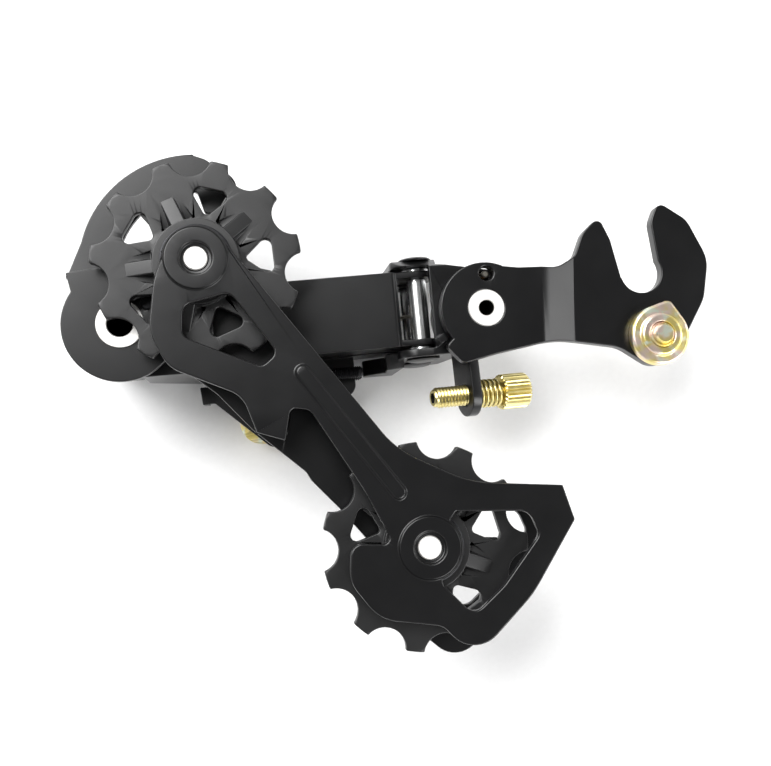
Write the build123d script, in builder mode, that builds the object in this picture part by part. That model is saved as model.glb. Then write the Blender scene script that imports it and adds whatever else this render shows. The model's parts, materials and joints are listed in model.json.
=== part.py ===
"""Rear bicycle derailleur with a bolt-on axle claw, pressed-steel linkage and long cage.

The origin is the centre of the wheel axle in the claw's slot, on the claw's frame-side face.
+Z is inboard, along every pivot bolt of the part. +X runs from the cage pivot towards the axle,
and +Y is square to both. All sizes are millimetres.
"""
import os
from math import cos, radians, sin

from build123d import *

# Places of the pivots in plan
pivot_x, pivot_y = -38.0, -9.8          # mounting bolt, from the wheel axle
fixing_x, fixing_y = 3.5, -15.2         # bolt that holds the claw in the dropout, from the axle
pins_back, pins_up = 13.8, 0.8          # the linkage's pins on the bracket, from the mounting bolt
cage_setback = 23.3                     # cage pivot beyond the knuckle's pins, along the links
guide_run, guide_rise = 16.2, 12.6      # upper, guide pulley, from the cage pivot
tension_run, tension_drop = 49.0, 59.8  # lower, tension pulley, from the guide pulley

# Claw
claw_thickness = 3.2
axle_slot_radius = 5.0
pivot_eye_radius = 10.5
joggle_setback, joggle_length = 13.0, 8.5   # the claw's step, from the mounting bolt
fixing_bolt_radius = 3.0
fixing_hexagon = 10.0
fixing_nut_radius = 7.0
fixing_nut_height = 2.6

# Mounting bolt and bracket
mounting_bolt_radius = 4.2
mounting_hexagon = 13.0
bolt_bore_radius = 1.77
pivot_bush_wall = 1.1
pivot_flange_radius = 6.6
base_plate_top = -1.7
base_plate_thickness = 2.0
spring_cup_radius = 10.0
spring_cup_wall = 1.1
spring_cup_floor = -14.0
spring_wire_radius = 0.85
spring_leg_radius = 7.9
stop_tab_reach, stop_tab_turn = 12.1, 215.5     # from the mounting bolt
swing_range = 60.0

# Linkage: two equal links between pin rows 12 mm apart
link_tilt = 5.5                 # turn of the linkage in plan
rest_slope = 4.0                # outboard slope of the links at rest
shift_range = 42.0
link_length = 44.0
pin_rise = 12.0                 # from the outer pins to the inner ones
inner_pin_z = -8.0
pin_radius = 2.25
pin_head_radius = 3.9
pin_head_height = 0.9
pin_collar_radius = 3.3
base_plate_setback = 2.2        # base plate's edge from the bracket's pins
link_half_width = 8.7
link_sheet = 1.5
link_eye_radius = 4.4
link_web_height = 5.0           # web's outer face above the pin line
web_setback = 4.9               # web's ends from the pins
ear_gap = 0.9                   # from a link's flange to the ear beside it
ear_sheet = 1.8
ear_floor = -28.0

# Cage and pulleys
cage_sheet = 1.8
outer_plate_z = 4.9             # outboard face of the outer plate
inner_plate_z = 15.3            # outboard face of the inner plate
knuckle_cup_radius = 10.0
knuckle_cup_wall = 1.4
knuckle_top = 4.6
knuckle_floor = -20.0
axle_bush_radius = 5.1
cage_boss_radius = 12.4
cage_axle_radius = 4.0
cage_range = 150.0
pulley_teeth = 11
pulley_tip_radius = 22.2
pulley_root_radius = 18.65
pulley_rim_width = 2.2
tooth_gap_radius = 4.6
pulley_hub_radius = 9.2
pulley_hub_width = 5.6
bush_radius = 4.0
dust_cap_radius = 7.6
axle_bolt_radius = 2.5
axle_head_radius = 4.2
axle_head_height = 1.8
boss_radius = 6.9               # pressed boss of the plates round each pulley bolt

# Cable parts
barrel_drop, barrel_z = 19.0, -6.0      # barrel adjuster's middle, from the mounting bolt
barrel_turn, barrel_dip = 6.5, 12.0
barrel_thread_radius = 2.45
barrel_head_radius = 4.15
barrel_tab_radius = 5.0
cable_bore_radius = 1.2
housing_socket_radius = 2.6
housing_socket_depth = 5.0
limit_screw_radius = 1.5
limit_head_radius = 2.7
anchor_bolt_radius = 2.45
anchor_washer_radius = 5.2
anchor_hexagon = 8.0

# Fits
running_gap = 0.05
press_gap = 0.02
stop_gap = 0.3                  # limit screws' tips from the bracket's wing at the ends of the shift

os.makedirs("parts", exist_ok=True)


def save(part, name):
    """Label a finished piece and write it as one STEP file."""
    part.label = name
    export_step(part, f"parts/{name}.step")


def turned(across, up, angle):
    """A point of a side view after a turn about its origin."""
    c, s = cos(radians(angle)), sin(radians(angle))
    return (across * c - up * s, across * s + up * c)


def near(place, corners):
    """Plan corners that are given from a place, moved to it."""
    return [(place[0] + x, place[1] + y, r) for x, y, r in corners]


def outline(corners):
    """A closed outline from (x, y, corner radius) triples."""
    points = [(x, y) for x, y, _ in corners]
    FilletPolyline(*points, radius=[r for _, _, r in corners], close=True)


# Directions and side views of the linkage
tilt = radians(link_tilt)
along_links = Vector(-cos(tilt), -sin(tilt), 0)
along_pins = Vector(-sin(tilt), cos(tilt), 0)
outer_pin_z = inner_pin_z - pin_rise
slope = radians(rest_slope)
link_run = along_links * cos(slope) + Vector(0, 0, -sin(slope))
link_up = along_links * sin(slope) + Vector(0, 0, cos(slope))

inner_pin_a = Vector(pivot_x - pins_back, pivot_y + pins_up, inner_pin_z)
outer_pin_a = Vector(pivot_x - pins_back, pivot_y + pins_up, outer_pin_z)
inner_pin_b = inner_pin_a + link_run * link_length
outer_pin_b = outer_pin_a + link_run * link_length

bracket_side = Plane(origin=outer_pin_a, x_dir=along_links, z_dir=along_pins)
knuckle_side = Plane(origin=outer_pin_b, x_dir=along_links, z_dir=along_pins)
inner_side = Plane(origin=inner_pin_a, x_dir=link_run, z_dir=along_pins)
outer_side = Plane(origin=outer_pin_a, x_dir=link_run, z_dir=along_pins)
outer_face = Plane(origin=outer_pin_a, x_dir=link_run, z_dir=link_up)   # y runs to the rear

ear_inside = link_half_width + ear_gap
ear_outside = ear_inside + ear_sheet
base_plate_bottom = base_plate_top - base_plate_thickness
cage_middle = outer_pin_b + along_links * cage_setback
axle = (0, 0)
fixing = (fixing_x, fixing_y)
pivot = (pivot_x, pivot_y)
cage_pivot = (cage_middle.X, cage_middle.Y)
guide = (cage_pivot[0] + guide_run, cage_pivot[1] + guide_rise)
tension = (guide[0] + tension_run, guide[1] - tension_drop)

# ---------------------------------------------------------------- claw and its fasteners

# The claw is one pressing: pivot eye and neck one sheet higher than the fork
fork_left, fork_right = -axle_slot_radius + 0.1, axle_slot_radius - 0.2
claw_outline = (
    near(pivot, [(-2.0, 10.1, 0), (7.5, 9.5, 9)])
    + near(axle, [
        (-20.8, 0.3, 7), (-16.2, 3.2, 3), (-14.2, 8.8, 5), (-10.2, 12.9, 1.5), (-7.4, 7.4, 3),
        (fork_left, -1.6, 0), (fork_right, -1.0, 0), (2.5, 12.0, 4), (4.4, 17.0, 1.8),
        (11.5, 12.8, 6), (16.6, 3.5, 8), (15.4, -6.0, 9),
    ])
    + near(fixing, [(6.9, -0.3, 2), (0.5, -8.4, 5), (-9.0, -2.7, 8), (-23.5, -1.2, 30)])
    + near(pivot, [
        (3.0, -10.3, 12), (-5.2, -12.8, 2), (-9.2, -8.8, 0.8), (-6.6, -6.2, 0),
    ])
)
joggle_end = pivot_x + joggle_setback + joggle_length
joggle_start = pivot_x + joggle_setback
with BuildPart() as claw_hanger:
    with BuildSketch(Plane.XZ):
        with BuildLine():
            Polyline(
                (-60, 0), (joggle_start, 0), (joggle_end, -claw_thickness), (30, -claw_thickness),
                (30, 0), (joggle_end, 0), (joggle_start, claw_thickness), (-60, claw_thickness),
                close=True,
            )
        make_face()
    extrude(amount=40, both=True)
    with BuildSketch(Plane.XY.offset(-10)):
        with BuildLine():
            outline(claw_outline)
        make_face()
        with Locations(pivot):
            Circle(pivot_eye_radius)
        Circle(axle_slot_radius, mode=Mode.SUBTRACT)
        with Locations(pivot):
            Circle(mounting_bolt_radius + press_gap, mode=Mode.SUBTRACT)
        with Locations((pivot_x, pivot_y + spring_leg_radius)):
            Circle(2 * spring_wire_radius, mode=Mode.SUBTRACT)
        with Locations(fixing):
            Circle(fixing_bolt_radius + running_gap, mode=Mode.SUBTRACT)
    extrude(amount=20, mode=Mode.INTERSECT)
save(claw_hanger.part, "claw_hanger")

# Hexagon bolt that clamps the claw in the dropout
with BuildPart() as frame_fixing_bolt:
    with BuildSketch(Plane.XY.offset(-claw_thickness)):
        with Locations(fixing):
            RegularPolygon(fixing_hexagon / 2, 6, major_radius=False)
    extrude(amount=-3.6)
    chamfer(frame_fixing_bolt.faces().sort_by(Axis.Z)[0].edges(), 0.5)
    with BuildSketch(Plane.XY.offset(-claw_thickness)):
        with Locations(fixing):
            Circle(fixing_bolt_radius)
    extrude(amount=claw_thickness + 5.2)
    chamfer(frame_fixing_bolt.faces().sort_by(Axis.Z)[-1].edges(), 1.4)
save(frame_fixing_bolt.part, "frame_fixing_bolt")

# Shaped nut that lies inside the dropout, with a raised collar
with BuildPart() as frame_fixing_nut:
    with BuildSketch():
        with Locations(fixing):
            Circle(fixing_nut_radius)
        with Locations((fixing_x + 1.8, fixing_y + fixing_nut_radius - 0.6)):
            Circle(1.7)
        make_hull()
    extrude(amount=fixing_nut_height)
    chamfer(frame_fixing_nut.faces().sort_by(Axis.Z)[-1].edges(), 0.5)
    with BuildSketch(Plane.XY.offset(fixing_nut_height)):
        with Locations(fixing):
            Circle(fixing_bolt_radius + 1.9)
    extrude(amount=1.0)
    chamfer(frame_fixing_nut.faces().sort_by(Axis.Z)[-1].edges(), 0.4)
    with BuildSketch():
        with Locations(fixing):
            Circle(fixing_bolt_radius + press_gap)
    extrude(amount=2 * fixing_nut_height, mode=Mode.SUBTRACT)
save(frame_fixing_nut.part, "frame_fixing_nut")

# Mounting bolt, peened flush with the claw's eye, with a blind bore in its end
bolt_end = claw_thickness + 0.2
with BuildPart() as mounting_bolt:
    with BuildSketch(Plane.XY.offset(spring_cup_floor - running_gap)):
        with Locations(pivot):
            RegularPolygon(mounting_hexagon / 2, 6, major_radius=False)
    extrude(amount=-4.0)
    chamfer(mounting_bolt.faces().sort_by(Axis.Z)[0].edges(), 0.6)
    with BuildSketch(Plane.XY.offset(spring_cup_floor - running_gap)):
        with Locations(pivot):
            Circle(mounting_bolt_radius)
    extrude(amount=bolt_end - spring_cup_floor + running_gap)
    with Locations(Pos(pivot_x, pivot_y, bolt_end)):
        Hole(bolt_bore_radius, depth=8)
save(mounting_bolt.part, "mounting_bolt")

# Pivot spring: coil round the bush, drawn as a sleeve, and the leg that hooks in the claw
with BuildPart() as pivot_spring:
    with BuildSketch(Plane.XY.offset(spring_cup_floor + 1.7)):
        with Locations(pivot):
            Circle(spring_leg_radius + spring_wire_radius)
            Circle(spring_leg_radius - spring_wire_radius, mode=Mode.SUBTRACT)
    extrude(amount=7.5)
    with BuildSketch(Plane.XY.offset(spring_cup_floor + 8)):
        with Locations((pivot_x, pivot_y + spring_leg_radius)):
            Circle(spring_wire_radius)
    extrude(amount=claw_thickness - 0.8 - spring_cup_floor - 8)
save(pivot_spring.part, "pivot_spring")

# ---------------------------------------------------------------- bracket

# Flanged bush on the mounting bolt
pivot_bush_radius = mounting_bolt_radius + running_gap + pivot_bush_wall
with BuildPart() as pivot_bush:
    with BuildSketch(Plane.XY.offset(spring_cup_floor)):
        with Locations(pivot):
            Circle(pivot_bush_radius)
    extrude(amount=-running_gap - spring_cup_floor)
    with BuildSketch(Plane.XY.offset(base_plate_top)):
        with Locations(pivot):
            Circle(pivot_flange_radius)
    extrude(amount=-running_gap - base_plate_top)
    with BuildSketch(Plane.XY.offset(spring_cup_floor)):
        with Locations(pivot):
            Circle(mounting_bolt_radius + running_gap)
    extrude(amount=20, mode=Mode.SUBTRACT)
save(pivot_bush.part, "pivot_bush")

# Barrel adjuster's axis and the square view along it
barrel_axis = Vector(
    cos(radians(barrel_dip)) * cos(radians(barrel_turn)),
    cos(radians(barrel_dip)) * sin(radians(barrel_turn)),
    -sin(radians(barrel_dip)),
)
barrel_up = Vector(-sin(radians(barrel_turn)), cos(radians(barrel_turn)), 0)


def barrel_plane(along):
    """A plane square to the barrel adjuster, some way along it."""
    middle = Vector(pivot_x, pivot_y - barrel_drop, barrel_z)
    return Plane(origin=middle + barrel_axis * along, x_dir=barrel_up, z_dir=barrel_axis)


# The bracket is a channel of sheet: base plate under the claw's eye, and two ears for the pins
screw_tip = 13.3                        # limit screws' tips from the bracket's pin
line_high, line_low = -3.0, 4.5         # limit screws' lines above the pin
stop_face = screw_tip - stop_gap
high_stop = [turned(stop_face, line_high + d, -rest_slope) for d in (-1.8, 1.8)]
low_stop = [turned(stop_face, line_low + d, shift_range - rest_slope) for d in (-1.8, 2.3)]
top_w = base_plate_top - outer_pin_z
base_plate_reach = pins_back + 3.2      # base plate's far edge from the bracket's pins
ear_outline = [
    (6.2, -5.4, 4), (6.2, pin_rise + 5.2, 5), (-1.5, top_w, 1), (-base_plate_reach, top_w, 1),
    (-base_plate_reach, 7.0, 2), (-8.5, 5.0, 3), (-7.0, ear_floor - outer_pin_z, 2),
    (3.0, ear_floor - outer_pin_z, 2),
]
barrel_tab_start, barrel_tab_sheet = -3.6, 2.4
# The tab runs from the barrel into the rear ear
pivot_across = (Vector(pivot_x, pivot_y) - outer_pin_a).dot(along_pins)
barrel_tab_reach = barrel_drop - ear_inside - ear_sheet / 2 - pivot_across
with BuildPart() as bracket_body:
    for near_face in (ear_inside, -ear_outside):
        with BuildSketch(bracket_side.offset(near_face)):
            with BuildLine():
                outline(ear_outline)
            make_face()
        extrude(amount=ear_sheet)
    # Base plate between the ears, round the mounting bolt
    with BuildSketch(Plane(origin=(inner_pin_a.X, inner_pin_a.Y, base_plate_bottom),
                           x_dir=along_links, z_dir=(0, 0, 1))):
        with Locations((-(base_plate_setback + base_plate_reach) / 2, 0)):
            Rectangle(base_plate_reach - base_plate_setback, 2 * ear_outside)
    extrude(amount=base_plate_thickness)
    with BuildSketch(Plane.XY.offset(base_plate_bottom)):
        with Locations(pivot):
            Circle(spring_cup_radius)
    extrude(amount=base_plate_thickness)
    # Spring cup below the base plate
    with BuildSketch(Plane.XY.offset(spring_cup_floor)):
        with Locations(pivot):
            Circle(spring_cup_radius)
    extrude(amount=base_plate_bottom - spring_cup_floor)
    with BuildSketch(Plane.XY.offset(spring_cup_floor + 1.5)):
        with Locations(pivot):
            Circle(spring_cup_radius - spring_cup_wall)
    extrude(amount=base_plate_bottom - spring_cup_floor - 1.5, mode=Mode.SUBTRACT)
    # Stop tab that meets the lug on the claw's eye
    stop_x = pivot_x + stop_tab_reach * cos(radians(stop_tab_turn))
    stop_y = pivot_y + stop_tab_reach * sin(radians(stop_tab_turn))
    with BuildSketch(Plane.XY.offset(base_plate_bottom)):
        with Locations(Location((stop_x, stop_y, 0), (0, 0, stop_tab_turn))):
            Rectangle(2.0, 1.8)
    extrude(amount=2.2 - base_plate_bottom)
    # Wing outside the rear ear, whose two ends the limit screws meet
    with BuildSketch(bracket_side.offset(-ear_outside - 2.0)):
        with BuildLine():
            Polyline((5.0, -6.5), high_stop[0], high_stop[1], (8.0, 3.0), low_stop[0],
                     low_stop[1], (5.0, 14.5), close=True)
        make_face()
    extrude(amount=ear_sheet + 2.0)
    # Tab that carries the barrel adjuster
    with BuildSketch(barrel_plane(barrel_tab_start)):
        Circle(barrel_tab_radius)
        with Locations((barrel_tab_reach / 2, 0)):
            Rectangle(barrel_tab_reach, 2 * barrel_tab_radius)
    extrude(amount=barrel_tab_sheet)
    # Holes: mounting bush, spring leg's arc, link pins, barrel thread
    with BuildSketch(Plane.XY.offset(spring_cup_floor)):
        with Locations(pivot):
            Circle(pivot_bush_radius + press_gap)
    extrude(amount=20, mode=Mode.SUBTRACT)
    with BuildSketch(Plane.XY.offset(base_plate_bottom)):
        with Locations(pivot):
            SlotArc(
                CenterArc((0, 0), spring_leg_radius, 87, swing_range + 6, mode=Mode.PRIVATE),
                2.4,
            )
    extrude(amount=base_plate_thickness, mode=Mode.SUBTRACT)
    with BuildSketch(bracket_side.offset(-20)):
        with Locations((0, 0), (0, pin_rise)):
            Circle(pin_radius + press_gap)
    extrude(amount=40, mode=Mode.SUBTRACT)
    with BuildSketch(barrel_plane(barrel_tab_start)):
        Circle(barrel_thread_radius + running_gap)
    extrude(amount=barrel_tab_sheet, mode=Mode.SUBTRACT)
save(bracket_body.part, "bracket_body")


def link_pin(centre, name):
    """A headed pin through two ears and the link between them."""
    with BuildPart() as pin:
        with BuildSketch(Plane(origin=centre, x_dir=along_links, z_dir=along_pins)):
            Circle(pin_radius)
        extrude(amount=ear_outside, both=True)
        for way in (1, -1):
            foot = centre + along_pins * ear_outside * way
            with BuildSketch(Plane(origin=foot, x_dir=along_links, z_dir=along_pins * way)):
                Circle(pin_head_radius)
            extrude(amount=pin_head_height)
        ends = pin.edges().filter_by(GeomType.CIRCLE).group_by(SortBy.RADIUS)[-1]
        chamfer(ends.sort_by(Axis(centre, along_pins))[0], 0.4)
        ends = pin.edges().filter_by(GeomType.CIRCLE).group_by(SortBy.RADIUS)[-1]
        chamfer(ends.sort_by(Axis(centre, along_pins))[-1], 0.4)
    save(pin.part, name)


def spacer_rings(centres, name):
    """Rings that fill the gaps between a link's flanges and the ears."""
    with BuildPart() as rings:
        for centre in centres:
            for way in (1, -1):
                foot = centre + along_pins * (link_half_width + running_gap) * way
                with BuildSketch(Plane(origin=foot, x_dir=along_links, z_dir=along_pins * way)):
                    Circle(pin_collar_radius)
                    Circle(pin_radius + press_gap, mode=Mode.SUBTRACT)
                extrude(amount=ear_gap - running_gap)
    save(rings.part, name)


link_pin(inner_pin_a, "inner_bracket_pin")
link_pin(outer_pin_a, "outer_bracket_pin")
link_pin(inner_pin_b, "inner_knuckle_pin")
link_pin(outer_pin_b, "outer_knuckle_pin")
spacer_rings([inner_pin_a, outer_pin_a], "bracket_pin_washers")
spacer_rings([inner_pin_b, outer_pin_b], "knuckle_pin_washers")

# ---------------------------------------------------------------- links


def link_channel(side, web_above):
    """A link: an open channel of sheet with an eye at each end of both flanges."""
    middle = link_length / 2
    way = 1 if web_above else -1
    with BuildPart() as channel:
        with BuildSketch(side):
            with Locations((middle, 0)):
                SlotCenterToCenter(link_length, 2 * link_eye_radius)
            with Locations((middle, way * link_web_height / 2)):
                RectangleRounded(link_length - 2 * web_setback, link_web_height, 1.2)
        extrude(amount=link_half_width, both=True)
        with BuildSketch(side):
            with Locations((middle, -way * (10 - link_web_height + link_sheet))):
                Rectangle(link_length + 20, 20)
            for end in (-5, link_length + 5):
                with Locations((end, 0)):
                    Rectangle(2 * web_setback + 10, 20)
        extrude(amount=link_half_width - link_sheet, both=True, mode=Mode.SUBTRACT)
        with BuildSketch(side):
            with Locations((0, 0), (link_length, 0)):
                Circle(pin_radius + running_gap)
        extrude(amount=2 * link_half_width, both=True, mode=Mode.SUBTRACT)
    return channel.part


with BuildPart() as inner_link:
    add(link_channel(inner_side, web_above=True))
save(inner_link.part, "inner_link")

# The outer link also carries the limit screws' tab and the cable anchor's arm
tab_near, tab_far = 15.2, 25.0
tab_reach = 18.2
tab_top, tab_sheet = 2.4, 1.8
wall_sheet = 2.4
wall_top = line_low + 2.1
wall_inner_edge = link_half_width + 0.6     # clear of the inner link's flange at full shift
screw_line = 12.6                       # limit screws' line, to the rear of the linkage's middle
anchor_setback, anchor_out = 5.5, 22.5  # cable anchor, from the knuckle's outer pin
anchor_along = link_length - anchor_setback
flange_inside = link_half_width - link_sheet
arm_top, arm_sheet = 4.6, 1.8
arm_inner_edge = ear_outside + 1.6      # clear of the knuckle's rear ear
arm_lip_end = arm_inner_edge + 4.2
screw_view = Plane(origin=outer_pin_a, x_dir=-along_pins, z_dir=link_run)
with BuildPart() as outer_link:
    add(link_channel(outer_side, web_above=False))
    # Plate of the limit tab, and the wall that the screws are threaded through
    with BuildSketch(outer_face.offset(tab_top)):
        with BuildLine():
            outline([(tab_near, flange_inside, 0), (tab_far, flange_inside, 0),
                     (tab_far, tab_reach, 0), (tab_near, tab_reach, 3)])
        make_face()
    extrude(amount=-tab_sheet)
    with BuildSketch(screw_view.offset(tab_far - wall_sheet)):
        with Locations(((wall_inner_edge + tab_reach) / 2, (wall_top - link_web_height) / 2)):
            Rectangle(tab_reach - wall_inner_edge, wall_top + link_web_height)
        with Locations(((flange_inside + wall_inner_edge) / 2, (tab_top - link_web_height) / 2)):
            Rectangle(wall_inner_edge - flange_inside, tab_top + link_web_height)
        with Locations((screw_line, line_high), (screw_line, line_low)):
            Circle(limit_screw_radius + running_gap, mode=Mode.SUBTRACT)
    extrude(amount=wall_sheet)
    # Arm of the cable anchor, with its end bent down
    with BuildSketch(outer_face.offset(arm_top - arm_sheet)):
        with BuildLine():
            outline(near((link_length, 0), [
                (-14.0, flange_inside, 0), (-7.0, flange_inside, 0), (-7.0, arm_inner_edge, 1),
                (8.4, arm_inner_edge, 0), (8.0, arm_lip_end, 0), (5.2, 17.0, 1), (-8.0, 29.4, 3),
                (-12.5, 27.0, 3), (-14.0, 16.0, 3),
            ]))
        make_face()
        with Locations((anchor_along, anchor_out)):
            Circle(anchor_bolt_radius + press_gap, mode=Mode.SUBTRACT)
    extrude(amount=arm_sheet)
    arm_lip = 5.0
    with BuildSketch(outer_face.offset(arm_top - arm_lip)):
        with Locations((link_length + 7.3, (arm_inner_edge + arm_lip_end) / 2)):
            Rectangle(1.4, arm_lip_end - arm_inner_edge)
    extrude(amount=arm_lip)
    # Gusset that carries the arm on the flange
    with BuildSketch(outer_side.offset(-link_half_width)):
        with Locations((link_length - 10.5, (arm_top - 1) / 2)):
            Rectangle(7.0, arm_top + 1)
    extrude(amount=link_sheet)
save(outer_link.part, "outer_link")


def limit_screw(line, name):
    """A small pan-head screw through the limit tab's wall, its tip towards the bracket."""
    foot = tab_far + 1.2
    with BuildPart() as screw:
        with BuildSketch(screw_view.offset(screw_tip)):
            with Locations((screw_line, line)):
                Circle(limit_screw_radius)
        extrude(amount=foot - screw_tip)
        chamfer(screw.faces().sort_by(Axis(outer_pin_a, link_run))[0].edges(), 0.4)
        with BuildSketch(screw_view.offset(foot)):
            with Locations((screw_line, line)):
                Circle(limit_head_radius)
        extrude(amount=1.9)
        chamfer(screw.faces().sort_by(Axis(outer_pin_a, link_run))[-1].edges(), 0.5)
        for slot_size in ((4.0, 0.8), (0.8, 4.0)):
            with BuildSketch(screw_view.offset(foot + 0.9)):
                with Locations((screw_line, line)):
                    Rectangle(*slot_size)
            extrude(amount=2, mode=Mode.SUBTRACT)
    save(screw.part, name)


limit_screw(line_high, "limit_screw_high")
limit_screw(line_low, "limit_screw_low")

# Cable anchor: stud fixed flush in the arm, clamp washer with a groove, and nut
arm_under = arm_top - arm_sheet
washer_thickness = 1.3
nut_height = 4.4
stud_length = arm_sheet + washer_thickness + nut_height + 2.4
anchor_place = (anchor_along, anchor_out)
with BuildPart() as cable_anchor_bolt:
    with BuildSketch(outer_face.offset(arm_top + 0.1)):
        with Locations(anchor_place):
            Circle(anchor_bolt_radius)
    extrude(amount=-stud_length)
    chamfer(cable_anchor_bolt.faces().sort_by(Axis(outer_pin_a, link_up))[0].edges(), 0.5)
save(cable_anchor_bolt.part, "cable_anchor_bolt")

with BuildPart() as cable_clamp_washer:
    with BuildSketch(outer_face.offset(arm_under)):
        with Locations(anchor_place):
            Circle(anchor_washer_radius)
            Circle(anchor_bolt_radius + running_gap, mode=Mode.SUBTRACT)
    extrude(amount=-washer_thickness)
    with BuildSketch(outer_face.offset(arm_under)):
        with Locations((anchor_along, anchor_out + anchor_bolt_radius + 1)):
            Rectangle(3 * anchor_washer_radius, 1.3)
    extrude(amount=-0.5, mode=Mode.SUBTRACT)
save(cable_clamp_washer.part, "cable_clamp_washer")

with BuildPart() as cable_anchor_nut:
    with BuildSketch(outer_face.offset(arm_under - washer_thickness)):
        with Locations(anchor_place):
            RegularPolygon(anchor_hexagon / 2, 6, major_radius=False)
            Circle(anchor_bolt_radius + press_gap, mode=Mode.SUBTRACT)
    extrude(amount=-nut_height)
save(cable_anchor_nut.part, "cable_anchor_nut")

# Return spring: the coil drawn as a sleeve, its eye hooked round the bracket's outer pin
spring_line = (inner_pin_b - outer_pin_a).normalized()
spring_setback = 6.5
spring_radius, spring_wire = 2.9, 0.8
spring_eye_radius = pin_radius + running_gap
with BuildPart() as return_spring:
    coil_start = Plane(origin=outer_pin_a + spring_line * spring_setback,
                       x_dir=along_pins, z_dir=spring_line)
    with BuildSketch(coil_start):
        Circle(spring_radius)
    extrude(amount=(inner_pin_b - outer_pin_a).length - 2 * spring_setback)
    with BuildSketch(coil_start.offset(1.2)):
        Circle(spring_radius - spring_wire)
    extrude(amount=link_length, mode=Mode.SUBTRACT)
    with BuildSketch(Plane(origin=outer_pin_a, x_dir=spring_line, z_dir=along_pins)):
        Circle(spring_eye_radius + spring_wire)
        with Locations((spring_setback / 2 + 0.5, 0)):
            Rectangle(spring_setback + 1, 2 * spring_wire)
        Circle(spring_eye_radius, mode=Mode.SUBTRACT)
    extrude(amount=spring_wire, both=True)
save(return_spring.part, "return_spring")

# ---------------------------------------------------------------- barrel adjuster

tab_face = barrel_tab_start + barrel_tab_sheet
barrel_head_start, barrel_head_end = 5.4, 12.2
barrel_tail = -11.6
with BuildPart() as barrel_adjuster:
    with BuildSketch(barrel_plane(barrel_tail)):
        Circle(barrel_thread_radius)
    extrude(amount=barrel_head_start - barrel_tail)
    chamfer(barrel_adjuster.faces().sort_by(Axis((0, 0, 0), barrel_axis))[0].edges(), 0.4)
    with BuildSketch(barrel_plane(barrel_head_start)):
        Circle(barrel_head_radius)
    extrude(amount=barrel_head_end - barrel_head_start)
    ends = barrel_adjuster.faces().sort_by(Axis((0, 0, 0), barrel_axis))
    chamfer(ends[-1].edges(), 0.5)
    with BuildSketch(barrel_plane(barrel_tail)):
        Circle(cable_bore_radius)
    extrude(amount=barrel_head_end - barrel_tail, mode=Mode.SUBTRACT)
    with BuildSketch(barrel_plane(barrel_head_end - housing_socket_depth)):
        Circle(housing_socket_radius)
    extrude(amount=housing_socket_depth, mode=Mode.SUBTRACT)
save(barrel_adjuster.part, "barrel_adjuster")

# Spring that keeps the barrel from turning by itself, drawn as a sleeve
with BuildPart() as barrel_spring:
    with BuildSketch(barrel_plane(tab_face + running_gap)):
        Circle(barrel_thread_radius + 0.95)
        Circle(barrel_thread_radius + 2 * running_gap, mode=Mode.SUBTRACT)
    extrude(amount=barrel_head_start - tab_face - 2 * running_gap)
save(barrel_spring.part, "barrel_spring")

# ---------------------------------------------------------------- knuckle and cage pivot

knuckle_plate_top, knuckle_plate_sheet = 2.2, 2.0
cup_roof = 3.0
stop_pin_reach, stop_pin_turn = 7.2, 39.4
stop_pin_radius = 0.9
pin_b_height = outer_pin_b.Z
to_top = knuckle_plate_top - pin_b_height
ear_depth = ear_floor - pin_b_height
knuckle_reach = cage_setback - 3.5      # ears run this far past the pins
with BuildPart() as knuckle_body:
    for near_face in (ear_inside, -ear_outside):
        with BuildSketch(knuckle_side.offset(near_face)):
            with BuildLine():
                outline([
                    (-6.0, ear_depth, 4), (-6.0, pin_rise + 5.4, 5), (3.0, to_top, 1),
                    (knuckle_reach, to_top, 1), (knuckle_reach, 9.0, 3), (8.0, ear_depth, 4),
                ])
            make_face()
        extrude(amount=ear_sheet)
    # Plate under the cage, between the ears
    plate_plane = Plane(origin=(outer_pin_b.X, outer_pin_b.Y, knuckle_plate_top),
                        x_dir=along_links, z_dir=(0, 0, 1))
    with BuildSketch(plate_plane):
        with Locations(((3.0 + knuckle_reach) / 2, 0)):
            Rectangle(knuckle_reach - 3.0, 2 * ear_outside)
    extrude(amount=-knuckle_plate_sheet)
    # Spring cup round the cage pivot
    with BuildSketch(Plane.XY.offset(knuckle_floor)):
        with Locations(cage_pivot):
            Circle(knuckle_cup_radius)
    extrude(amount=knuckle_top - knuckle_floor)
    with BuildSketch(Plane.XY.offset(knuckle_floor)):
        with Locations(cage_pivot):
            Circle(knuckle_cup_radius - knuckle_cup_wall)
    extrude(amount=knuckle_top - cup_roof - knuckle_floor, mode=Mode.SUBTRACT)
    with BuildSketch(Plane.XY.offset(knuckle_floor)):
        with Locations(cage_pivot):
            Circle(axle_bush_radius + press_gap)
    extrude(amount=knuckle_top - knuckle_floor, mode=Mode.SUBTRACT)
    # Arc in which the cage's stop pin travels
    with BuildSketch(Plane.XY.offset(knuckle_top)):
        with Locations(cage_pivot):
            SlotArc(
                CenterArc((0, 0), stop_pin_reach, stop_pin_turn - cage_range, cage_range,
                          mode=Mode.PRIVATE),
                2 * stop_pin_radius + 0.4,
            )
    extrude(amount=-1.7, mode=Mode.SUBTRACT)
    with BuildSketch(knuckle_side.offset(-20)):
        with Locations((0, 0), (0, pin_rise)):
            Circle(pin_radius + press_gap)
    extrude(amount=40, mode=Mode.SUBTRACT)
save(knuckle_body.part, "knuckle_body")

cap_sheet = 1.4
with BuildPart() as knuckle_cap:
    with BuildSketch(Plane.XY.offset(knuckle_floor)):
        with Locations(cage_pivot):
            Circle(knuckle_cup_radius - knuckle_cup_wall - press_gap)
    extrude(amount=cap_sheet)
    chamfer(knuckle_cap.faces().sort_by(Axis.Z)[0].edges(), 0.4)
save(knuckle_cap.part, "knuckle_cap")

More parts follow.
